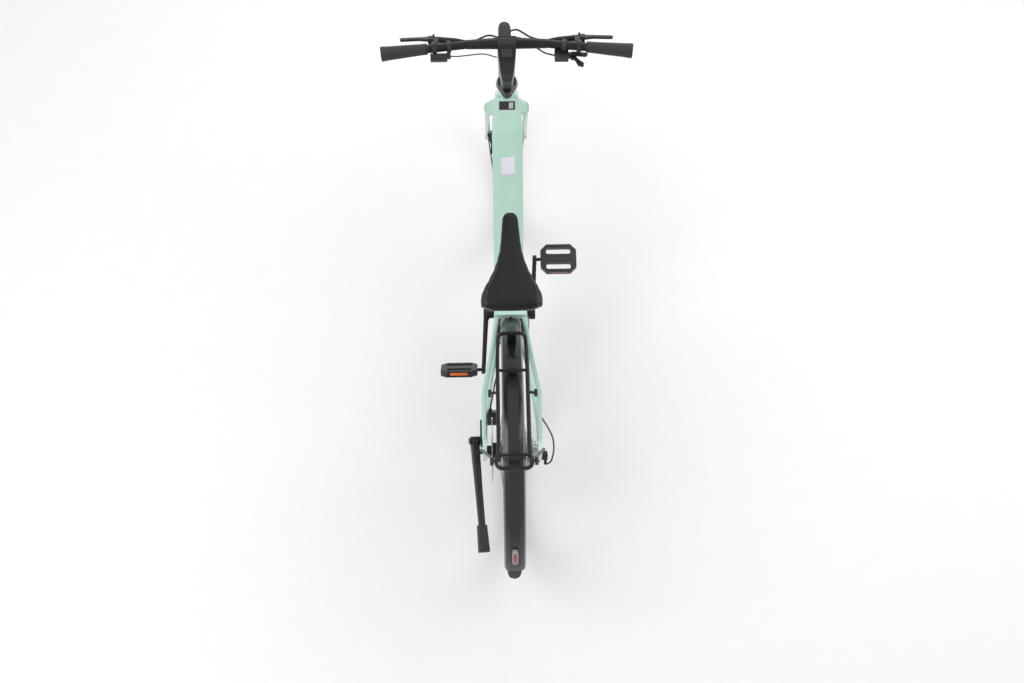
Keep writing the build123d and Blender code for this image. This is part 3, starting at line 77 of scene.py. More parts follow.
# ------------------------------------------------------------------ materials
def material(name, colour, roughness, metallic=0.0, grain=220.0, bump=0.12, shift=0.10, edge_highlight=0.0, coat=0.0,
             sheen=0.0, stretch=(1.0, 1.0, 1.0), pebble=False, specular=0.5):
    """A surface whose colour, roughness and relief all vary, with a painted highlight lightening its sharp
    edges if asked.
    """
    made = bpy.data.materials.new(name)
    made.use_nodes = True
    tree = made.node_tree
    links = tree.links
    shader = tree.nodes["Principled BSDF"]
    shader.inputs["Metallic"].default_value = metallic
    shader.inputs["Coat Weight"].default_value = coat
    shader.inputs["Coat Roughness"].default_value = 0.12
    shader.inputs["Sheen Weight"].default_value = sheen
    shader.inputs["Specular IOR Level"].default_value = specular
    place = tree.nodes.new("ShaderNodeTexCoord")
    mapping = tree.nodes.new("ShaderNodeMapping")
    mapping.inputs["Scale"].default_value = stretch
    links.new(place.outputs["Object"], mapping.inputs["Vector"])

    broad = tree.nodes.new("ShaderNodeTexNoise")
    broad.inputs["Scale"].default_value = 14.0
    broad.inputs["Detail"].default_value = 5.0
    links.new(mapping.outputs["Vector"], broad.inputs["Vector"])
    tint = tree.nodes.new("ShaderNodeValToRGB")
    tint.color_ramp.elements[0].position = 0.32
    tint.color_ramp.elements[1].position = 0.68
    tint.color_ramp.elements[0].color = [c * (1.0 - shift) for c in colour] + [1.0]
    tint.color_ramp.elements[1].color = [min(1.0, c * (1.0 + shift)) for c in colour] + [1.0]
    links.new(broad.outputs["Fac"], tint.inputs["Fac"])
    surface = tint.outputs["Color"]

    # Painted highlight: sharp convex edges, found by Pointiness, are mixed towards a lighter copy of the
    # colour.
    if edge_highlight > 0.0:
        shape = tree.nodes.new("ShaderNodeNewGeometry")
        highlight_ramp = tree.nodes.new("ShaderNodeValToRGB")
        highlight_ramp.color_ramp.elements[0].position = 0.53
        highlight_ramp.color_ramp.elements[1].position = 0.62
        highlight_ramp.color_ramp.elements[1].color = (edge_highlight, edge_highlight, edge_highlight, 1.0)
        links.new(shape.outputs["Pointiness"], highlight_ramp.inputs["Fac"])
        mix = tree.nodes.new("ShaderNodeMix")
        mix.data_type = "RGBA"
        mix.inputs[7].default_value = [min(1.0, c * 1.5 + 0.10) for c in colour] + [1.0]
        links.new(highlight_ramp.outputs["Color"], mix.inputs[0])
        links.new(surface, mix.inputs[6])
        surface = mix.outputs[2]
    links.new(surface, shader.inputs["Base Color"])

    smudge = tree.nodes.new("ShaderNodeMapRange")
    smudge.inputs["To Min"].default_value = max(0.04, roughness - 0.08)
    smudge.inputs["To Max"].default_value = min(1.0, roughness + 0.08)
    links.new(broad.outputs["Fac"], smudge.inputs["Value"])
    links.new(smudge.outputs["Result"], shader.inputs["Roughness"])

    if pebble:
        fine = tree.nodes.new("ShaderNodeTexVoronoi")
        height = fine.outputs["Distance"]
    else:
        fine = tree.nodes.new("ShaderNodeTexNoise")
        fine.inputs["Detail"].default_value = 3.0
        height = fine.outputs["Fac"]
    fine.inputs["Scale"].default_value = grain
    links.new(mapping.outputs["Vector"], fine.inputs["Vector"])
    relief = tree.nodes.new("ShaderNodeBump")
    relief.inputs["Strength"].default_value = bump
    relief.inputs["Distance"].default_value = 0.0004
    links.new(height, relief.inputs["Height"])
    links.new(relief.outputs["Normal"], shader.inputs["Normal"])
    return made


# Each material's edge amount sets how strongly a painted highlight lightens its sharp edges.
mint = material("mint_lacquer", (0.46, 0.67, 0.57), 0.30, grain=900.0, bump=0.03, shift=0.025, edge_highlight=0.35,
                coat=0.45)
satin_black = material("satin_black", (0.010, 0.010, 0.012), 0.36, metallic=0.35, grain=1100.0, bump=0.10,
                       edge_highlight=0.16)
moulded = material("moulded_black", (0.010, 0.010, 0.012), 0.46, grain=1500.0, bump=0.22, edge_highlight=0.12)
fender_skin = material("fender_satin", (0.009, 0.010, 0.011), 0.27, grain=700.0, bump=0.05, edge_highlight=0.15,
                       coat=0.25)
grip_rubber = material("grip_rubber", (0.022, 0.022, 0.023), 0.72, grain=1400.0, bump=0.40, sheen=0.15,
                       pebble=True)
tyre_rubber = material("tyre_rubber", (0.016, 0.016, 0.017), 0.72, grain=800.0, bump=0.35, shift=0.22,
                       edge_highlight=0.10)
saddle_skin = material("saddle_skin", (0.009, 0.009, 0.011), 0.50, grain=1300.0, bump=0.45, pebble=True,
                       specular=0.22)
panel_skin = material("saddle_panel", (0.022, 0.022, 0.026), 0.40, grain=1700.0, bump=0.30, pebble=True,
                      specular=0.35)
gloss_black = material("gloss_black", (0.010, 0.010, 0.012), 0.14, grain=500.0, bump=0.02, coat=0.6)
steel = material("bright_steel", (0.55, 0.56, 0.58), 0.28, metallic=1.0, grain=900.0, bump=0.08, shift=0.12)
spoke_steel = material("spoke_steel", (0.42, 0.43, 0.45), 0.32, metallic=1.0, grain=900.0, bump=0.05)
disc_steel = material("disc_steel", (0.50, 0.50, 0.52), 0.30, metallic=1.0, grain=260.0, bump=0.25,
                      stretch=(1, 9, 9))
chain_steel = material("chain_steel", (0.24, 0.24, 0.25), 0.36, metallic=1.0, grain=900.0, bump=0.15,
                       shift=0.30)
alloy = material("brushed_alloy", (0.60, 0.61, 0.63), 0.34, metallic=1.0, grain=600.0, bump=0.12,
                 stretch=(9, 1, 1))
cable_skin = material("cable_skin", (0.014, 0.014, 0.015), 0.42, grain=1600.0, bump=0.15)
amber = material("amber_reflector", (0.80, 0.17, 0.015), 0.20, grain=420.0, bump=0.80, shift=0.20, coat=0.6,
                 pebble=True)
red_lens = material("red_lens", (0.34, 0.010, 0.012), 0.16, grain=380.0, bump=0.50, coat=0.7, pebble=True)
lamp_side = material("lamp_side", (0.30, 0.29, 0.30), 0.25, grain=500.0, bump=0.15, coat=0.4)
blank_label = material("blank_label", (0.74, 0.72, 0.80), 0.45, grain=1200.0, bump=0.05, shift=0.03)
pale_block = material("pale_block", (0.46, 0.47, 0.48), 0.50, grain=1200.0, bump=0.05, shift=0.05)
screen = material("screen_glass", (0.012, 0.013, 0.016), 0.07, grain=300.0, bump=0.01, coat=0.8)

finishes = {name: moulded for name in nodes}
for names, made in (
    (("head_tube", "main_beam", "seat_tube", "chainstays", "seat_stays", "fork"), mint),
    (("rear_fender", "front_fender"), fender_skin),
    (("seatpost", "seat_collar", "rack", "cockpit", "crankset", "chainring", "kickstand_leg",
      "kickstand_mount",
      "front_rim", "rear_rim", "front_hub", "rear_hub", "front_caliper", "rear_caliper", "brake_bodies",
      "brake_lever_left", "brake_lever_right", "derailleur_body", "derailleur_cage"), satin_black),
    (("grips", "kickstand_foot"), grip_rubber),
    (("front_tyre", "rear_tyre"), tyre_rubber),
    (("saddle_base", "headset_cover"), gloss_black),
    (("saddle_cushion",), saddle_skin),
    (("saddle_rails", "headset_bearings", "cassette"), steel),
    (("front_spokes", "rear_spokes"), spoke_steel),
    (("front_rotor", "rear_rotor"), disc_steel),
    (("front_axle", "rear_axle"), alloy),
    (("chain",), chain_steel),
    (("cockpit_cables", "frame_cables"), cable_skin),
    (("tail_light",), lamp_side),
    (("display",), screen),
):
    for name in names:
        finishes[name] = made
for name, made in finishes.items():
    data = nodes[name].data
    if not data.materials:
        data.materials.append(None)
    for entry in nodes[name].material_slots:
        entry.material = made


# ------------------------------------------------------------------ building helpers
def piece(name, bm, made, body, smooth=True, bevel=0.0):
    """Turns a bmesh into a finished piece that rides on a body."""
    bmesh.ops.recalc_face_normals(bm, faces=bm.faces)
    data = bpy.data.meshes.new(name)
    bm.to_mesh(data)
    bm.free()
    for face in data.polygons:
        face.use_smooth = smooth
    data.materials.append(made)
    obj = bpy.data.objects.new(name, data)
    bpy.context.scene.collection.objects.link(obj)
    if bevel > 0.0:
        rounding = obj.modifiers.new("rounding", "BEVEL")
        rounding.width = bevel
        rounding.segments = 3
        rounding.limit_method = "ANGLE"
        rounding.angle_limit = math.radians(35)
    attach(obj, body)
    return obj


def axes(direction):
    """Three unit directions, the third along the given one."""
    third = Vector(direction).normalized()
    first = UP.cross(third)
    if first.length < 1e-4:
        first = ACROSS.cross(third)
    first.normalize()
    return first, third.cross(first), third


def turned(bm, start, direction, profile, around=32):
    """Adds a closed turned form: profile is (distance along, radius) pairs."""
    first, second, third = axes(direction)
    rings = []
    for along, radius in profile:
        centre = Vector(start) + third * along
        ring = []
        for i in range(around):
            angle = TURN * i / around
            ring.append(bm.verts.new(centre + (first * math.cos(angle) + second * math.sin(angle)) * radius))
        rings.append(ring)
    for near, far in zip(rings, rings[1:]):
        for i in range(around):
            j = (i + 1) % around
            bm.faces.new((near[i], near[j], far[j], far[i]))
    bm.faces.new(list(reversed(rings[0])))
    bm.faces.new(rings[-1])


def block(bm, centre, first, second, third, size):
    """Adds a box with its own three directions."""
    turn = Matrix((first, second, third)).transposed().to_4x4()
    bmesh.ops.create_cube(
        bm, size=1.0, matrix=Matrix.Translation(centre) @ turn @ Matrix.Diagonal((*size, 1.0)))


def socket_screw(bm, centre, direction, radius=0.0030, height=0.0022):
    """Adds a domed screw head with a recessed socket."""
    turned(bm, Vector(centre) - Vector(direction).normalized() * 0.0006, direction, [
        (0.0, radius), (height * 0.7, radius), (height, radius * 0.82),
        (height, radius * 0.52), (height * 0.45, radius * 0.46),
    ], around=18)


def ring_point(centre, radius, angle, x):
    return Vector((x, centre.y + radius * math.cos(angle), centre.z + radius * math.sin(angle)))


# ------------------------------------------------------------------ saddle
saddle_low, saddle_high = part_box("saddle_cushion")
nose_y, tail_y = saddle_high[1], saddle_low[1]
top_z, under_z = saddle_high[2], saddle_low[2]
half_wide = (saddle_high[0] - saddle_low[0]) / 2.0
COVER_WIDTH_SHARE = 0.985
COVER_END_INSET = 0.0012
COVER_TOP_INSET = 0.0006
STATIONS = (
    (0.0, 0.10), (0.025, 0.20), (0.07, 0.26), (0.16, 0.285), (0.28, 0.315), (0.40, 0.36), (0.50, 0.44),
    (0.60, 0.55), (0.70, 0.71), (0.79, 0.87), (0.86, 0.965), (0.91, 0.985), (0.955, 0.975),
    (0.98, 0.83), (1.0, 0.66),
)


def saddle_half(share):
    """Half the saddle's width at a share of its length from the nose, smoothed between stations."""
    for (a, wa), (b, wb) in zip(STATIONS, STATIONS[1:]):
        if share <= b:
            t = (share - a) / (b - a)
            t = t * t * (3 - 2 * t) * 0.5 + t * 0.5
            return half_wide * (wa + (wb - wa) * t)
    return half_wide * STATIONS[-1][1]


def saddle_point(share, turn):
    """A point on the cushion: turn runs 0 at the right skirt, through the crown, to 1 at the left."""
    half = saddle_half(share)
    side = math.cos(math.pi * turn)
    rise = math.sin(math.pi * turn) ** 0.55
    dip = 0.0022 * math.exp(-(side / 0.16) ** 2) * max(0.0, min(1.0, (share - 0.25) * 3.0))
    saddle_bow = 0.0030 * math.sin(math.pi * min(1.0, share * 1.15)) ** 2
    ends = min(1.0, share / 0.05) ** 0.5 * min(1.0, (1.0 - share) / 0.05 + 0.25) ** 0.5
    crown = 0.12 + 0.88 * rise * (0.35 + 0.65 * ends)
    x = half * COVER_WIDTH_SHARE * math.copysign(abs(side) ** 0.86, side)
    y = nose_y - COVER_END_INSET - share * (nose_y - tail_y - 2.0 * COVER_END_INSET)
    z = under_z + (top_z - under_z - COVER_TOP_INSET) * crown - dip * rise - saddle_bow * rise
    return Vector((x, y, z))


def cushion(long_steps=72, cross_steps=44):
    bm = bmesh.new()
    rows = [[bm.verts.new(saddle_point(i / long_steps, j / cross_steps)) for j in range(cross_steps + 1)]
            for i in range(long_steps + 1)]
    for near, far in zip(rows, rows[1:]):
        for j in range(cross_steps):
            bm.faces.new((near[j], near[j + 1], far[j + 1], far[j]))
    floor = []
    for row in rows:
        floor.append([row[0], bm.verts.new(Vector((row[0].co.x * 0.55, row[0].co.y, under_z + 0.0006))),
                      bm.verts.new(Vector((row[-1].co.x * 0.55, row[0].co.y, under_z + 0.0006))), row[-1]])
    for near, far in zip(floor, floor[1:]):
        for j in range(3):
            bm.faces.new((near[j], far[j], far[j + 1], near[j + 1]))
    for row, under in ((rows[0], floor[0]), (rows[-1], floor[-1])):
        bm.faces.new(list(row) + [under[2], under[1]])
    return bm


seat = piece("saddle_cover", cushion(), saddle_skin, "saddle_post")
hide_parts("saddle_cushion")

PANEL_TURN = 0.205
PANEL_LOW = 0.075


def surface_strip(name, turns, made, lift, steps=90, start=0.06, end=0.975, across_steps=6):
    """A closed thin strip that follows the saddle's surface, such as a side panel or a seam."""
    bm = bmesh.new()
    top, under = [], []
    for i in range(steps + 1):
        share = start + (end - start) * i / steps
        upper, lower = [], []
        for j in range(across_steps + 1):
            turn = turns[0] + (turns[1] - turns[0]) * j / across_steps
            here = saddle_point(share, turn)
            along = saddle_point(min(1.0, share + 0.004), turn) - saddle_point(share - 0.004, turn)
            over = saddle_point(share, turn + 0.004) - saddle_point(share, turn - 0.004)
            normal = along.cross(over).normalized()
            if normal.z < 0:
                normal.negate()
            edge = math.sin(math.pi * j / across_steps) ** 0.5 if across_steps > 1 else 1.0
            upper.append(bm.verts.new(here + normal * lift * (0.25 + 0.75 * edge)))
            lower.append(bm.verts.new(here - normal * 0.0006))
        top.append(upper)
        under.append(lower)
    for a, b in zip(range(steps), range(1, steps + 1)):
        for j in range(across_steps):
            bm.faces.new((top[a][j], top[a][j + 1], top[b][j + 1], top[b][j]))
            bm.faces.new((under[a][j], under[b][j], under[b][j + 1], under[a][j + 1]))
        bm.faces.new((top[a][0], top[b][0], under[b][0], under[a][0]))
        bm.faces.new((top[a][-1], under[a][-1], under[b][-1], top[b][-1]))
    for row in (0, steps):
        for j in range(across_steps):
            bm.faces.new((top[row][j], under[row][j], under[row][j + 1], top[row][j + 1]))
    return piece(name, bm, made, "saddle_post")


for side_name, near, far in (("right", PANEL_LOW, PANEL_TURN), ("left", 1.0 - PANEL_TURN, 1.0 - PANEL_LOW)):
    surface_strip(f"saddle_panel_{side_name}", (near, far), panel_skin, 0.0007, start=0.30)
for side_name, turn in (("right", PANEL_TURN + 0.012), ("left", 1.0 - PANEL_TURN - 0.012)):
    surface_strip(f"saddle_seam_{side_name}", (turn - 0.006, turn + 0.006), gloss_black, 0.0007,
                  across_steps=3)

stitches = bmesh.new()
for turn in (PANEL_TURN + 0.030, 1.0 - PANEL_TURN - 0.030):
    for i in range(58):
        share = 0.08 + 0.88 * i / 58
        here = saddle_point(share, turn)
        ahead = saddle_point(share + 0.006, turn)
        first, second, third = axes(ahead - here)
        block(stitches, (here + ahead) / 2.0 + Vector((0, 0, 0.0002)), first, second, third,
              (0.0007, 0.0006, 0.0016))
piece("saddle_stitches", stitches, panel_skin, "saddle_post")


# ------------------------------------------------------------------ tyres
def tyre(name, axle, node, body):
    """A tyre with a rounded casing, a centre rib, shoulder blocks and sipes, all as real shape."""
    low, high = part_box(node)
    outer = (high[2] - low[2]) / 2.0
    section = (high[0] - low[0]) / 2.0
    tread = 0.0013
    around, over = 720, 40
    bm = bmesh.new()
    rings = []
    for i in range(around):
        angle = TURN * i / around
        ring = []
        for j in range(over + 1):
            lean = math.radians(-128 + 256 * j / over)
            depth = 0.0
            across_share = abs(math.degrees(lean))
            if across_share < 7:
                depth = tread
            elif across_share < 13:
                depth = tread * (0.10 if (i % 12) in (0, 1) else 0.55)
            elif across_share < 34:
                depth = tread * (0.15 if (i + int(across_share)) % 10 < 3 else 0.95)
            elif across_share < 52:
                depth = tread * (0.10 if (i + 4) % 8 < 3 else 0.80)
            elif across_share > 112:
                depth = 0.0006
            radius = section - tread - 0.0002 + depth
            ring.append(bm.verts.new(ring_point(
                axle, outer - section + radius * math.cos(lean), angle, radius * math.sin(lean))))
        for lean_degrees, inset in ((128, 0.0035), (0, 0.0035), (-128, 0.0035)):
            lean = math.radians(lean_degrees)
            radius = section - inset - 0.0002
            ring.append(bm.verts.new(ring_point(
                axle, outer - section + radius * math.cos(lean), angle, radius * math.sin(lean))))
        rings.append(ring)
    count = len(rings[0])
    for i in range(around):
        near, far = rings[i], rings[(i + 1) % around]
        for j in range(count):
            k = (j + 1) % count
            bm.faces.new((near[j], far[j], far[k], near[k]))
    made = piece(name, bm, tyre_rubber, body, smooth=False)
    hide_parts(node)


tyre("front_tyre_tread", front_axle, "front_tyre", "front_wheel")
tyre("rear_tyre_tread", rear_axle, "rear_tyre", "rear_wheel")

SPOKE_COUNT = 32
NIPPLE_LENGTH = 0.013
VALVE_LENGTH = 0.034
for end_name, axle, body in (("front", front_axle, "front_wheel"), ("rear", rear_axle, "rear_wheel")):
    rim_low, rim_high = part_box(f"{end_name}_rim")
    rim_outer = (rim_high[2] - rim_low[2]) / 2.0
    bed = rim_outer - 0.021
    nipples = bmesh.new()
    for i in range(SPOKE_COUNT):
        angle = TURN * i / SPOKE_COUNT
        lean_x = -0.004 if i % 2 == 0 else 0.004
        foot = ring_point(axle, bed - NIPPLE_LENGTH, angle, lean_x)
        turned(nipples, foot, ring_point(axle, bed, angle, lean_x) - foot,
               [(0.0, 0.0016), (0.010, 0.0019), (0.013, 0.0024)], around=10)
    piece(f"{end_name}_nipples", nipples, steel, body)
    valve = bmesh.new()
    spot = TURN * 8.5 / SPOKE_COUNT
    foot = ring_point(axle, bed - VALVE_LENGTH, spot, 0.0)
    turned(valve, foot, ring_point(axle, bed, spot, 0.0) - foot,
           [(0.0, 0.0020), (0.002, 0.0034), (0.012, 0.0036), (0.013, 0.0029), (0.034, 0.0029)], around=14)
    piece(f"{end_name}_valve", valve, moulded, body)


# ------------------------------------------------------------------ chain
PITCH = 0.0127


def pitch_radius(teeth):
    return PITCH / (2.0 * math.sin(math.pi / teeth))


guide = Vector(joints["guide_pulley_spin"]["pos_m"])
tension = Vector(joints["tension_pulley_spin"]["pos_m"])
chain_low, chain_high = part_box("chain")
chain_x = (chain_low[0] + chain_high[0]) / 2.0
RING_TEETH, PULLEY_TEETH, COG_TEETH = 36, 12, 18
WRAPS = (
    (bracket, pitch_radius(RING_TEETH)), (tension, pitch_radius(PULLEY_TEETH)),
    (guide, -pitch_radius(PULLEY_TEETH)), (rear_axle, pitch_radius(COG_TEETH)),
)
PLATE_RADIUS = 0.0036
PLATE_THICKNESS = 0.0006
OUTER_PLATE_X, INNER_PLATE_X = 0.0021, 0.0013


def chain_line(step=0.0005):
    """Closely spaced points along the line of the chain's pins."""
    lines = []
    for index, (start, start_r) in enumerate(WRAPS):
        end, end_r = WRAPS[(index + 1) % len(WRAPS)]
        gap = end - start
        heading = math.atan2(gap.z, gap.y) + math.asin((end_r - start_r) / math.hypot(gap.y, gap.z))
        right = (math.sin(heading), -math.cos(heading))
        lines.append(((start.y - start_r * right[0], start.z - start_r * right[1]),
                      (end.y - end_r * right[0], end.z - end_r * right[1])))
    path = []
    for index, (leaving, arriving) in enumerate(lines):
        length = math.dist(leaving, arriving)
        for i in range(int(length / step)):
            t = i * step / length
            path.append((leaving[0] + (arriving[0] - leaving[0]) * t,
                         leaving[1] + (arriving[1] - leaving[1]) * t))
        centre, radius = WRAPS[(index + 1) % len(WRAPS)]
        following = lines[(index + 1) % len(lines)][0]
        first = math.atan2(arriving[1] - centre.z, arriving[0] - centre.y)
        last = math.atan2(following[1] - centre.z, following[0] - centre.y)
        sweep = (last - first) % TURN
        if radius > 0.0:
            sweep -= TURN
        size = abs(radius)
        for i in range(max(1, int(abs(sweep) * size / step))):
            angle = first + sweep * i * step / (abs(sweep) * size)
            path.append((centre.y + size * math.cos(angle), centre.z + size * math.sin(angle)))
    return path


def chain_pins():
    path = chain_line()
    lengths = [0.0]
    for a, b in zip(path, path[1:] + path[:1]):
        lengths.append(lengths[-1] + math.dist(a, b))
    count = 2 * round(lengths[-1] / PITCH / 2)
    pins, at = [], 0
    for i in range(count):
        want = lengths[-1] * i / count
        while lengths[at + 1] < want:
            at += 1
        pins.append(path[at % len(path)])
    return pins


links = bmesh.new()
pins = chain_pins()
for i, (here, there) in enumerate(zip(pins, pins[1:] + pins[:1])):
    a = Vector((chain_x, here[0], here[1]))
    b = Vector((chain_x, there[0], there[1]))
    outer_link = i % 2 == 0
    offset = OUTER_PLATE_X if outer_link else INNER_PLATE_X
    along = (b - a).normalized()
    upward = ACROSS.cross(along)
    for side in (-1, 1):
        profile = []
        for end, sign in ((a, -1), (b, 1)):
            for k in range(9):
                turn = math.pi * (k / 8.0 - 0.5)
                ahead = along * sign * math.cos(turn) * PLATE_RADIUS
                profile.append(end + ahead + upward * sign * math.sin(turn) * PLATE_RADIUS)
        inner = [links.verts.new(p + ACROSS * side * offset) for p in profile]
        outer = [links.verts.new(p + ACROSS * side * (offset + PLATE_THICKNESS)) for p in profile]
        links.faces.new(inner)
        links.faces.new(list(reversed(outer)))
        for k in range(len(profile)):
            n = (k + 1) % len(profile)
            links.faces.new((inner[k], outer[k], outer[n], inner[n]))
    turned(links, a - ACROSS * 0.0027, ACROSS, [(0.0, 0.0015), (0.0054, 0.0015)], around=10)
    turned(links, a - ACROSS * 0.0011, ACROSS, [(0.0, 0.0030), (0.0022, 0.0030)], around=14)
chain = piece("chain_links", links, chain_steel, "frame", smooth=False)
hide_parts("chain")


# ------------------------------------------------------------------ labels, laid on the surface below them
def surface_under(node):
    """A function that gives the highest surface point of a node straight below a place."""
    obj = nodes[node]

    def drop(x, y):
        hit, where, normal, _ = obj.ray_cast(Vector((x, y, 2.0)), Vector((0, 0, -1)))
        return (where, normal) if hit else (None, None)

    return drop


def label(name, node, centre, size, made, body, turn=0.0, lift=0.00025, cells=10):
    """A thin closed sticker that follows the surface below it."""
    drop = surface_under(node)
    bm = bmesh.new()
    upper, lower = {}, {}
    for i in range(cells + 1):
        for j in range(cells + 1):
            across = (i / cells - 0.5) * size[0]
            along = (j / cells - 0.5) * size[1]
            x = centre[0] + across * math.cos(turn) - along * math.sin(turn)
            y = centre[1] + across * math.sin(turn) + along * math.cos(turn)
            where, normal = drop(x, y)
            if where is None:
                bm.free()
                return None
            upper[i, j] = bm.verts.new(where + normal * lift)
            lower[i, j] = bm.verts.new(where - normal * 0.0002)
    for i in range(cells):
        for j in range(cells):
            bm.faces.new((upper[i, j], upper[i + 1, j], upper[i + 1, j + 1], upper[i, j + 1]))
            bm.faces.new((lower[i, j], lower[i, j + 1], lower[i + 1, j + 1], lower[i + 1, j]))
    for i in range(cells):
        for j in (0, cells):
            bm.faces.new((upper[i, j], upper[i + 1, j], lower[i + 1, j], lower[i, j]))
            bm.faces.new((upper[j, i], upper[j, i + 1], lower[j, i + 1], lower[j, i]))
    return piece(name, bm, made, body)


top_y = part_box("main_beam")[1][1]
label("beam_plate", "main_beam", (0.0, top_y - 0.078), (0.044, 0.016), gloss_black, "frame")
label("beam_plate_block", "main_beam", (0.011, top_y - 0.078), (0.012, 0.011), pale_block, "frame",
      lift=0.0005)
label("beam_label", "main_beam", (0.001, top_y - 0.185), (0.040, 0.030), blank_label, "frame",
      turn=0.06)


# ------------------------------------------------------------------ pedals
PLATFORM_WIDTH = 0.109
REFLECTOR_REACH = 0.0425
RIB_REACH = 0.0441
RIB_PITCH = 0.0042
for side, joint_name, body, tilt in (
    (1, "pedal_right_spin", "pedal_right", 12.0), (-1, "pedal_left_spin", "pedal_left", -47.0),
):
    centre = Vector(joints[joint_name]["pos_m"])
    pedal_low, pedal_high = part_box(body)
    platform_end = pedal_high[0] if side > 0 else pedal_low[0]
    centre.x = platform_end - side * PLATFORM_WIDTH / 2.0
    lean = math.radians(tilt)
    up = Vector((0, -math.sin(lean), math.cos(lean)))
    forward = ACROSS.cross(up) * -1.0
    if forward.y < 0:
        forward.negate()
    reflectors = bmesh.new()
    for face in (-1, 1):
        block(reflectors, centre + forward * face * REFLECTOR_REACH, ACROSS, forward, up,
              (0.052, 0.0030, 0.0085))
        for i in range(12):
            rib = centre + forward * face * RIB_REACH + ACROSS * (i - 5.5) * RIB_PITCH
            block(reflectors, rib, ACROSS, forward, up, (0.0030, 0.0008, 0.0072))
    piece(f"{body}_reflectors", reflectors, amber, body, bevel=0.0004, smooth=False)
    pads = bmesh.new()
    for face in (-1, 1):
        for row in (-0.0375, 0.0375):
            for i in range(7):
                turned(pads, centre + up * face * 0.0094 + forward * row + ACROSS * (i - 3) * 0.0095,
                       up * face,
                       [(0.0, 0.0024), (0.0010, 0.0020), (0.0013, 0.0011)], around=10)
    piece(f"{body}_studs", pads, grip_rubber, body)


# ------------------------------------------------------------------ grips
STEER_PLACE = Vector(joints["steering"]["pos_m"])
steer_foot = STEER_PLACE - steer_up * 0.500
BAR_BEND_X = 0.106
BAR_END_X = 0.330


def on_steer(x, forward, along):
    return steer_foot + ACROSS * x + steer_forward * forward + steer_up * along


def bar_point(x):
    """The centre of the handlebar at a distance from the middle: level, then swept back and up."""
    size = abs(x)
    if size <= BAR_BEND_X:
        share = size / BAR_BEND_X
        return on_steer(x, 0.0695 - 0.0035 * share, 0.724 + 0.001 * share)
    share = (size - BAR_BEND_X) / (BAR_END_X - BAR_BEND_X)
    return on_steer(x, 0.066 - 0.0265 * share, 0.725 + 0.009 * share)


grip_skins = bmesh.new()
collars = bmesh.new()
GRIP_INNER, GRIP_OUTER = 0.0146, 0.0196
for side in (-1, 1):
    inner, outer = bar_point(0.208 * side), bar_point(0.3275 * side)
    length = (outer - inner).length
    profile = []
    steps = 240
    for i in range(steps + 1):
        along = length * i / steps
        share = along / length
        radius = GRIP_INNER + (GRIP_OUTER - GRIP_INNER) * share
        ribbed = 0.010 < along < length - 0.014
        groove = 0.0009 * (0.5 - 0.5 * math.cos(TURN * along / 0.0040)) if ribbed else 0.0
        profile.append((along, radius - 0.0002 - groove))
    turned(grip_skins, inner, outer - inner, profile, around=48)
    direction = (outer - inner).normalized()
    turned(collars, outer, direction, [(-0.0005, 0.0184), (0.0004, 0.0184), (0.0016, 0.0176),
                                       (0.0018, 0.0120)], around=40)
    turned(collars, inner + direction * 0.0015, direction,
           [(0.0, 0.0143), (0.0004, 0.01455), (0.0050, 0.0147), (0.0054, 0.0144)], around=40)
grip_skin = piece("grip_skins", grip_skins, grip_rubber, "steering")
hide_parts("grips")
piece("grip_collars", collars, satin_black, "steering")


# ------------------------------------------------------------------ screws
cap_screw = bmesh.new()
cockpit_drop = surface_under("cockpit")
for x in (-0.012, 0.012):
    where, normal = cockpit_drop(x, bar_point(0.0).y - 0.066)
    if where is not None:
        socket_screw(cap_screw, where, normal, 0.0026)
if len(cap_screw.verts):
    piece("stem_screws", cap_screw, satin_black, "steering")
else:
    cap_screw.free()

rotor_screws_front, rotor_screws_rear = bmesh.new(), bmesh.new()
for bm, axle, node in ((rotor_screws_front, front_axle, "front_rotor"),
                       (rotor_screws_rear, rear_axle, "rear_rotor")):
    face_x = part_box(node)[0][0]
    for i in range(6):
        socket_screw(bm, ring_point(axle, 0.022, TURN * i / 6, face_x), -ACROSS, 0.0034, 0.0020)
piece("front_rotor_screws", rotor_screws_front, satin_black, "front_wheel")
piece("rear_rotor_screws", rotor_screws_rear, satin_black, "rear_wheel")

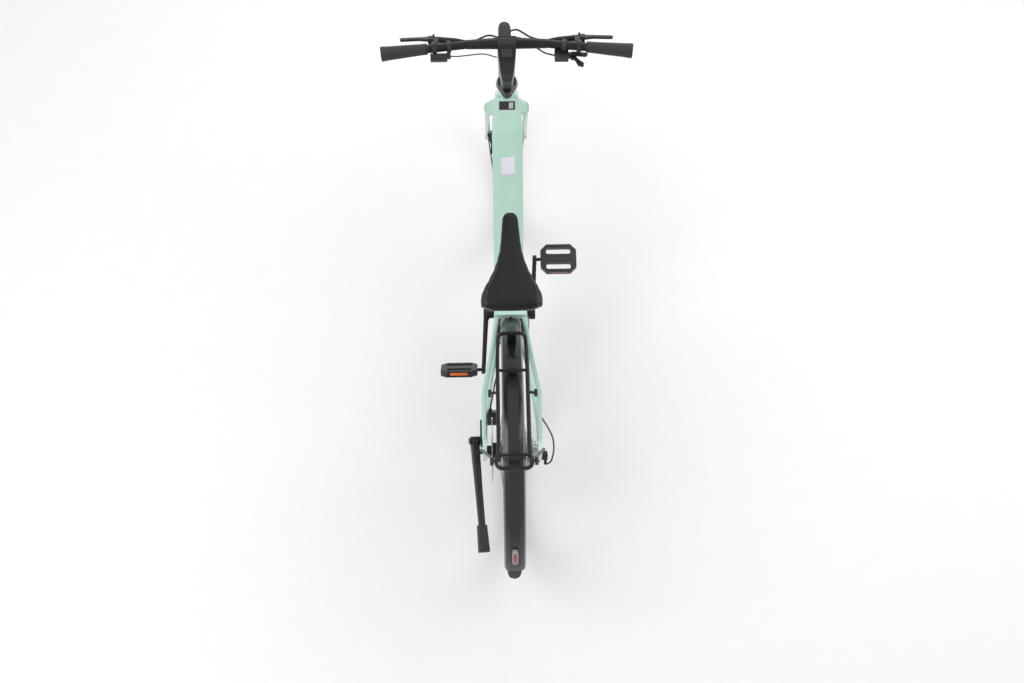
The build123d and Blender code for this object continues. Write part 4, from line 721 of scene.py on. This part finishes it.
# ------------------------------------------------------------------ tail lamp lens
LENS_SIZE = (0.0075, 0.0022, 0.030)
LENS_LIFT = 0.0040
lamp_low, lamp_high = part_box("tail_light")
lamp_centre = (Vector(lamp_low) + Vector(lamp_high)) / 2.0
outward = (lamp_centre - rear_axle).normalized()
outward.x = 0.0
outward.normalize()
lens = bmesh.new()
block(lens, lamp_centre + outward * LENS_LIFT, ACROSS, outward, ACROSS.cross(outward), LENS_SIZE)
piece("tail_lamp_lens", lens, red_lens, "frame", bevel=0.0010)

# ------------------------------------------------------------------ floor, light, camera
bpy.ops.mesh.primitive_plane_add(size=60.0, location=(0, 0, cad_low[2] - 0.0005))
floor = bpy.context.object
floor.name = "floor"
floor_skin = material("floor_white", (0.86, 0.86, 0.86), 0.55, grain=40.0, bump=0.01, shift=0.006)
floor.data.materials.append(floor_skin)

world = bpy.data.worlds.new("studio")
bpy.context.scene.world = world
world.use_nodes = True
world.node_tree.nodes["Background"].inputs["Color"].default_value = (1.0, 1.0, 1.0, 1.0)
world.node_tree.nodes["Background"].inputs["Strength"].default_value = 0.62


def soft_light(name, place, target, size, power):
    lamp = bpy.data.lights.new(name, "AREA")
    lamp.size = size
    lamp.energy = power
    obj = bpy.data.objects.new(name, lamp)
    obj.location = place
    obj.rotation_euler = (Vector(target) - Vector(place)).to_track_quat("-Z", "Y").to_euler()
    bpy.context.scene.collection.objects.link(obj)


soft_light("key", (-2.4, -1.2, 3.6), (0, 0, 0.5), 2.6, 70.0)
soft_light("fill", (2.6, 0.4, 3.2), (0, 0, 0.5), 2.8, 48.0)
soft_light("back", (0.2, 3.0, 2.8), (0, 0, 0.6), 2.4, 40.0)

camera_data = bpy.data.cameras.new("camera")
camera_data.lens = 42.19
camera_data.sensor_width = 36.0
camera = bpy.data.objects.new("camera", camera_data)
camera.location = (-0.0331, -1.8154, 3.4749)
yaw, pitch, roll = 0.0238, 1.0918, 0.005
look = Vector((math.sin(yaw) * math.cos(pitch), math.cos(yaw) * math.cos(pitch), -math.sin(pitch)))
turn = look.to_track_quat("-Z", "Y").to_matrix() @ Matrix.Rotation(roll, 3, "Z")
camera.rotation_euler = turn.to_euler()
bpy.context.scene.collection.objects.link(camera)
bpy.context.scene.camera = camera
bpy.context.scene.view_settings.view_transform = "Standard"
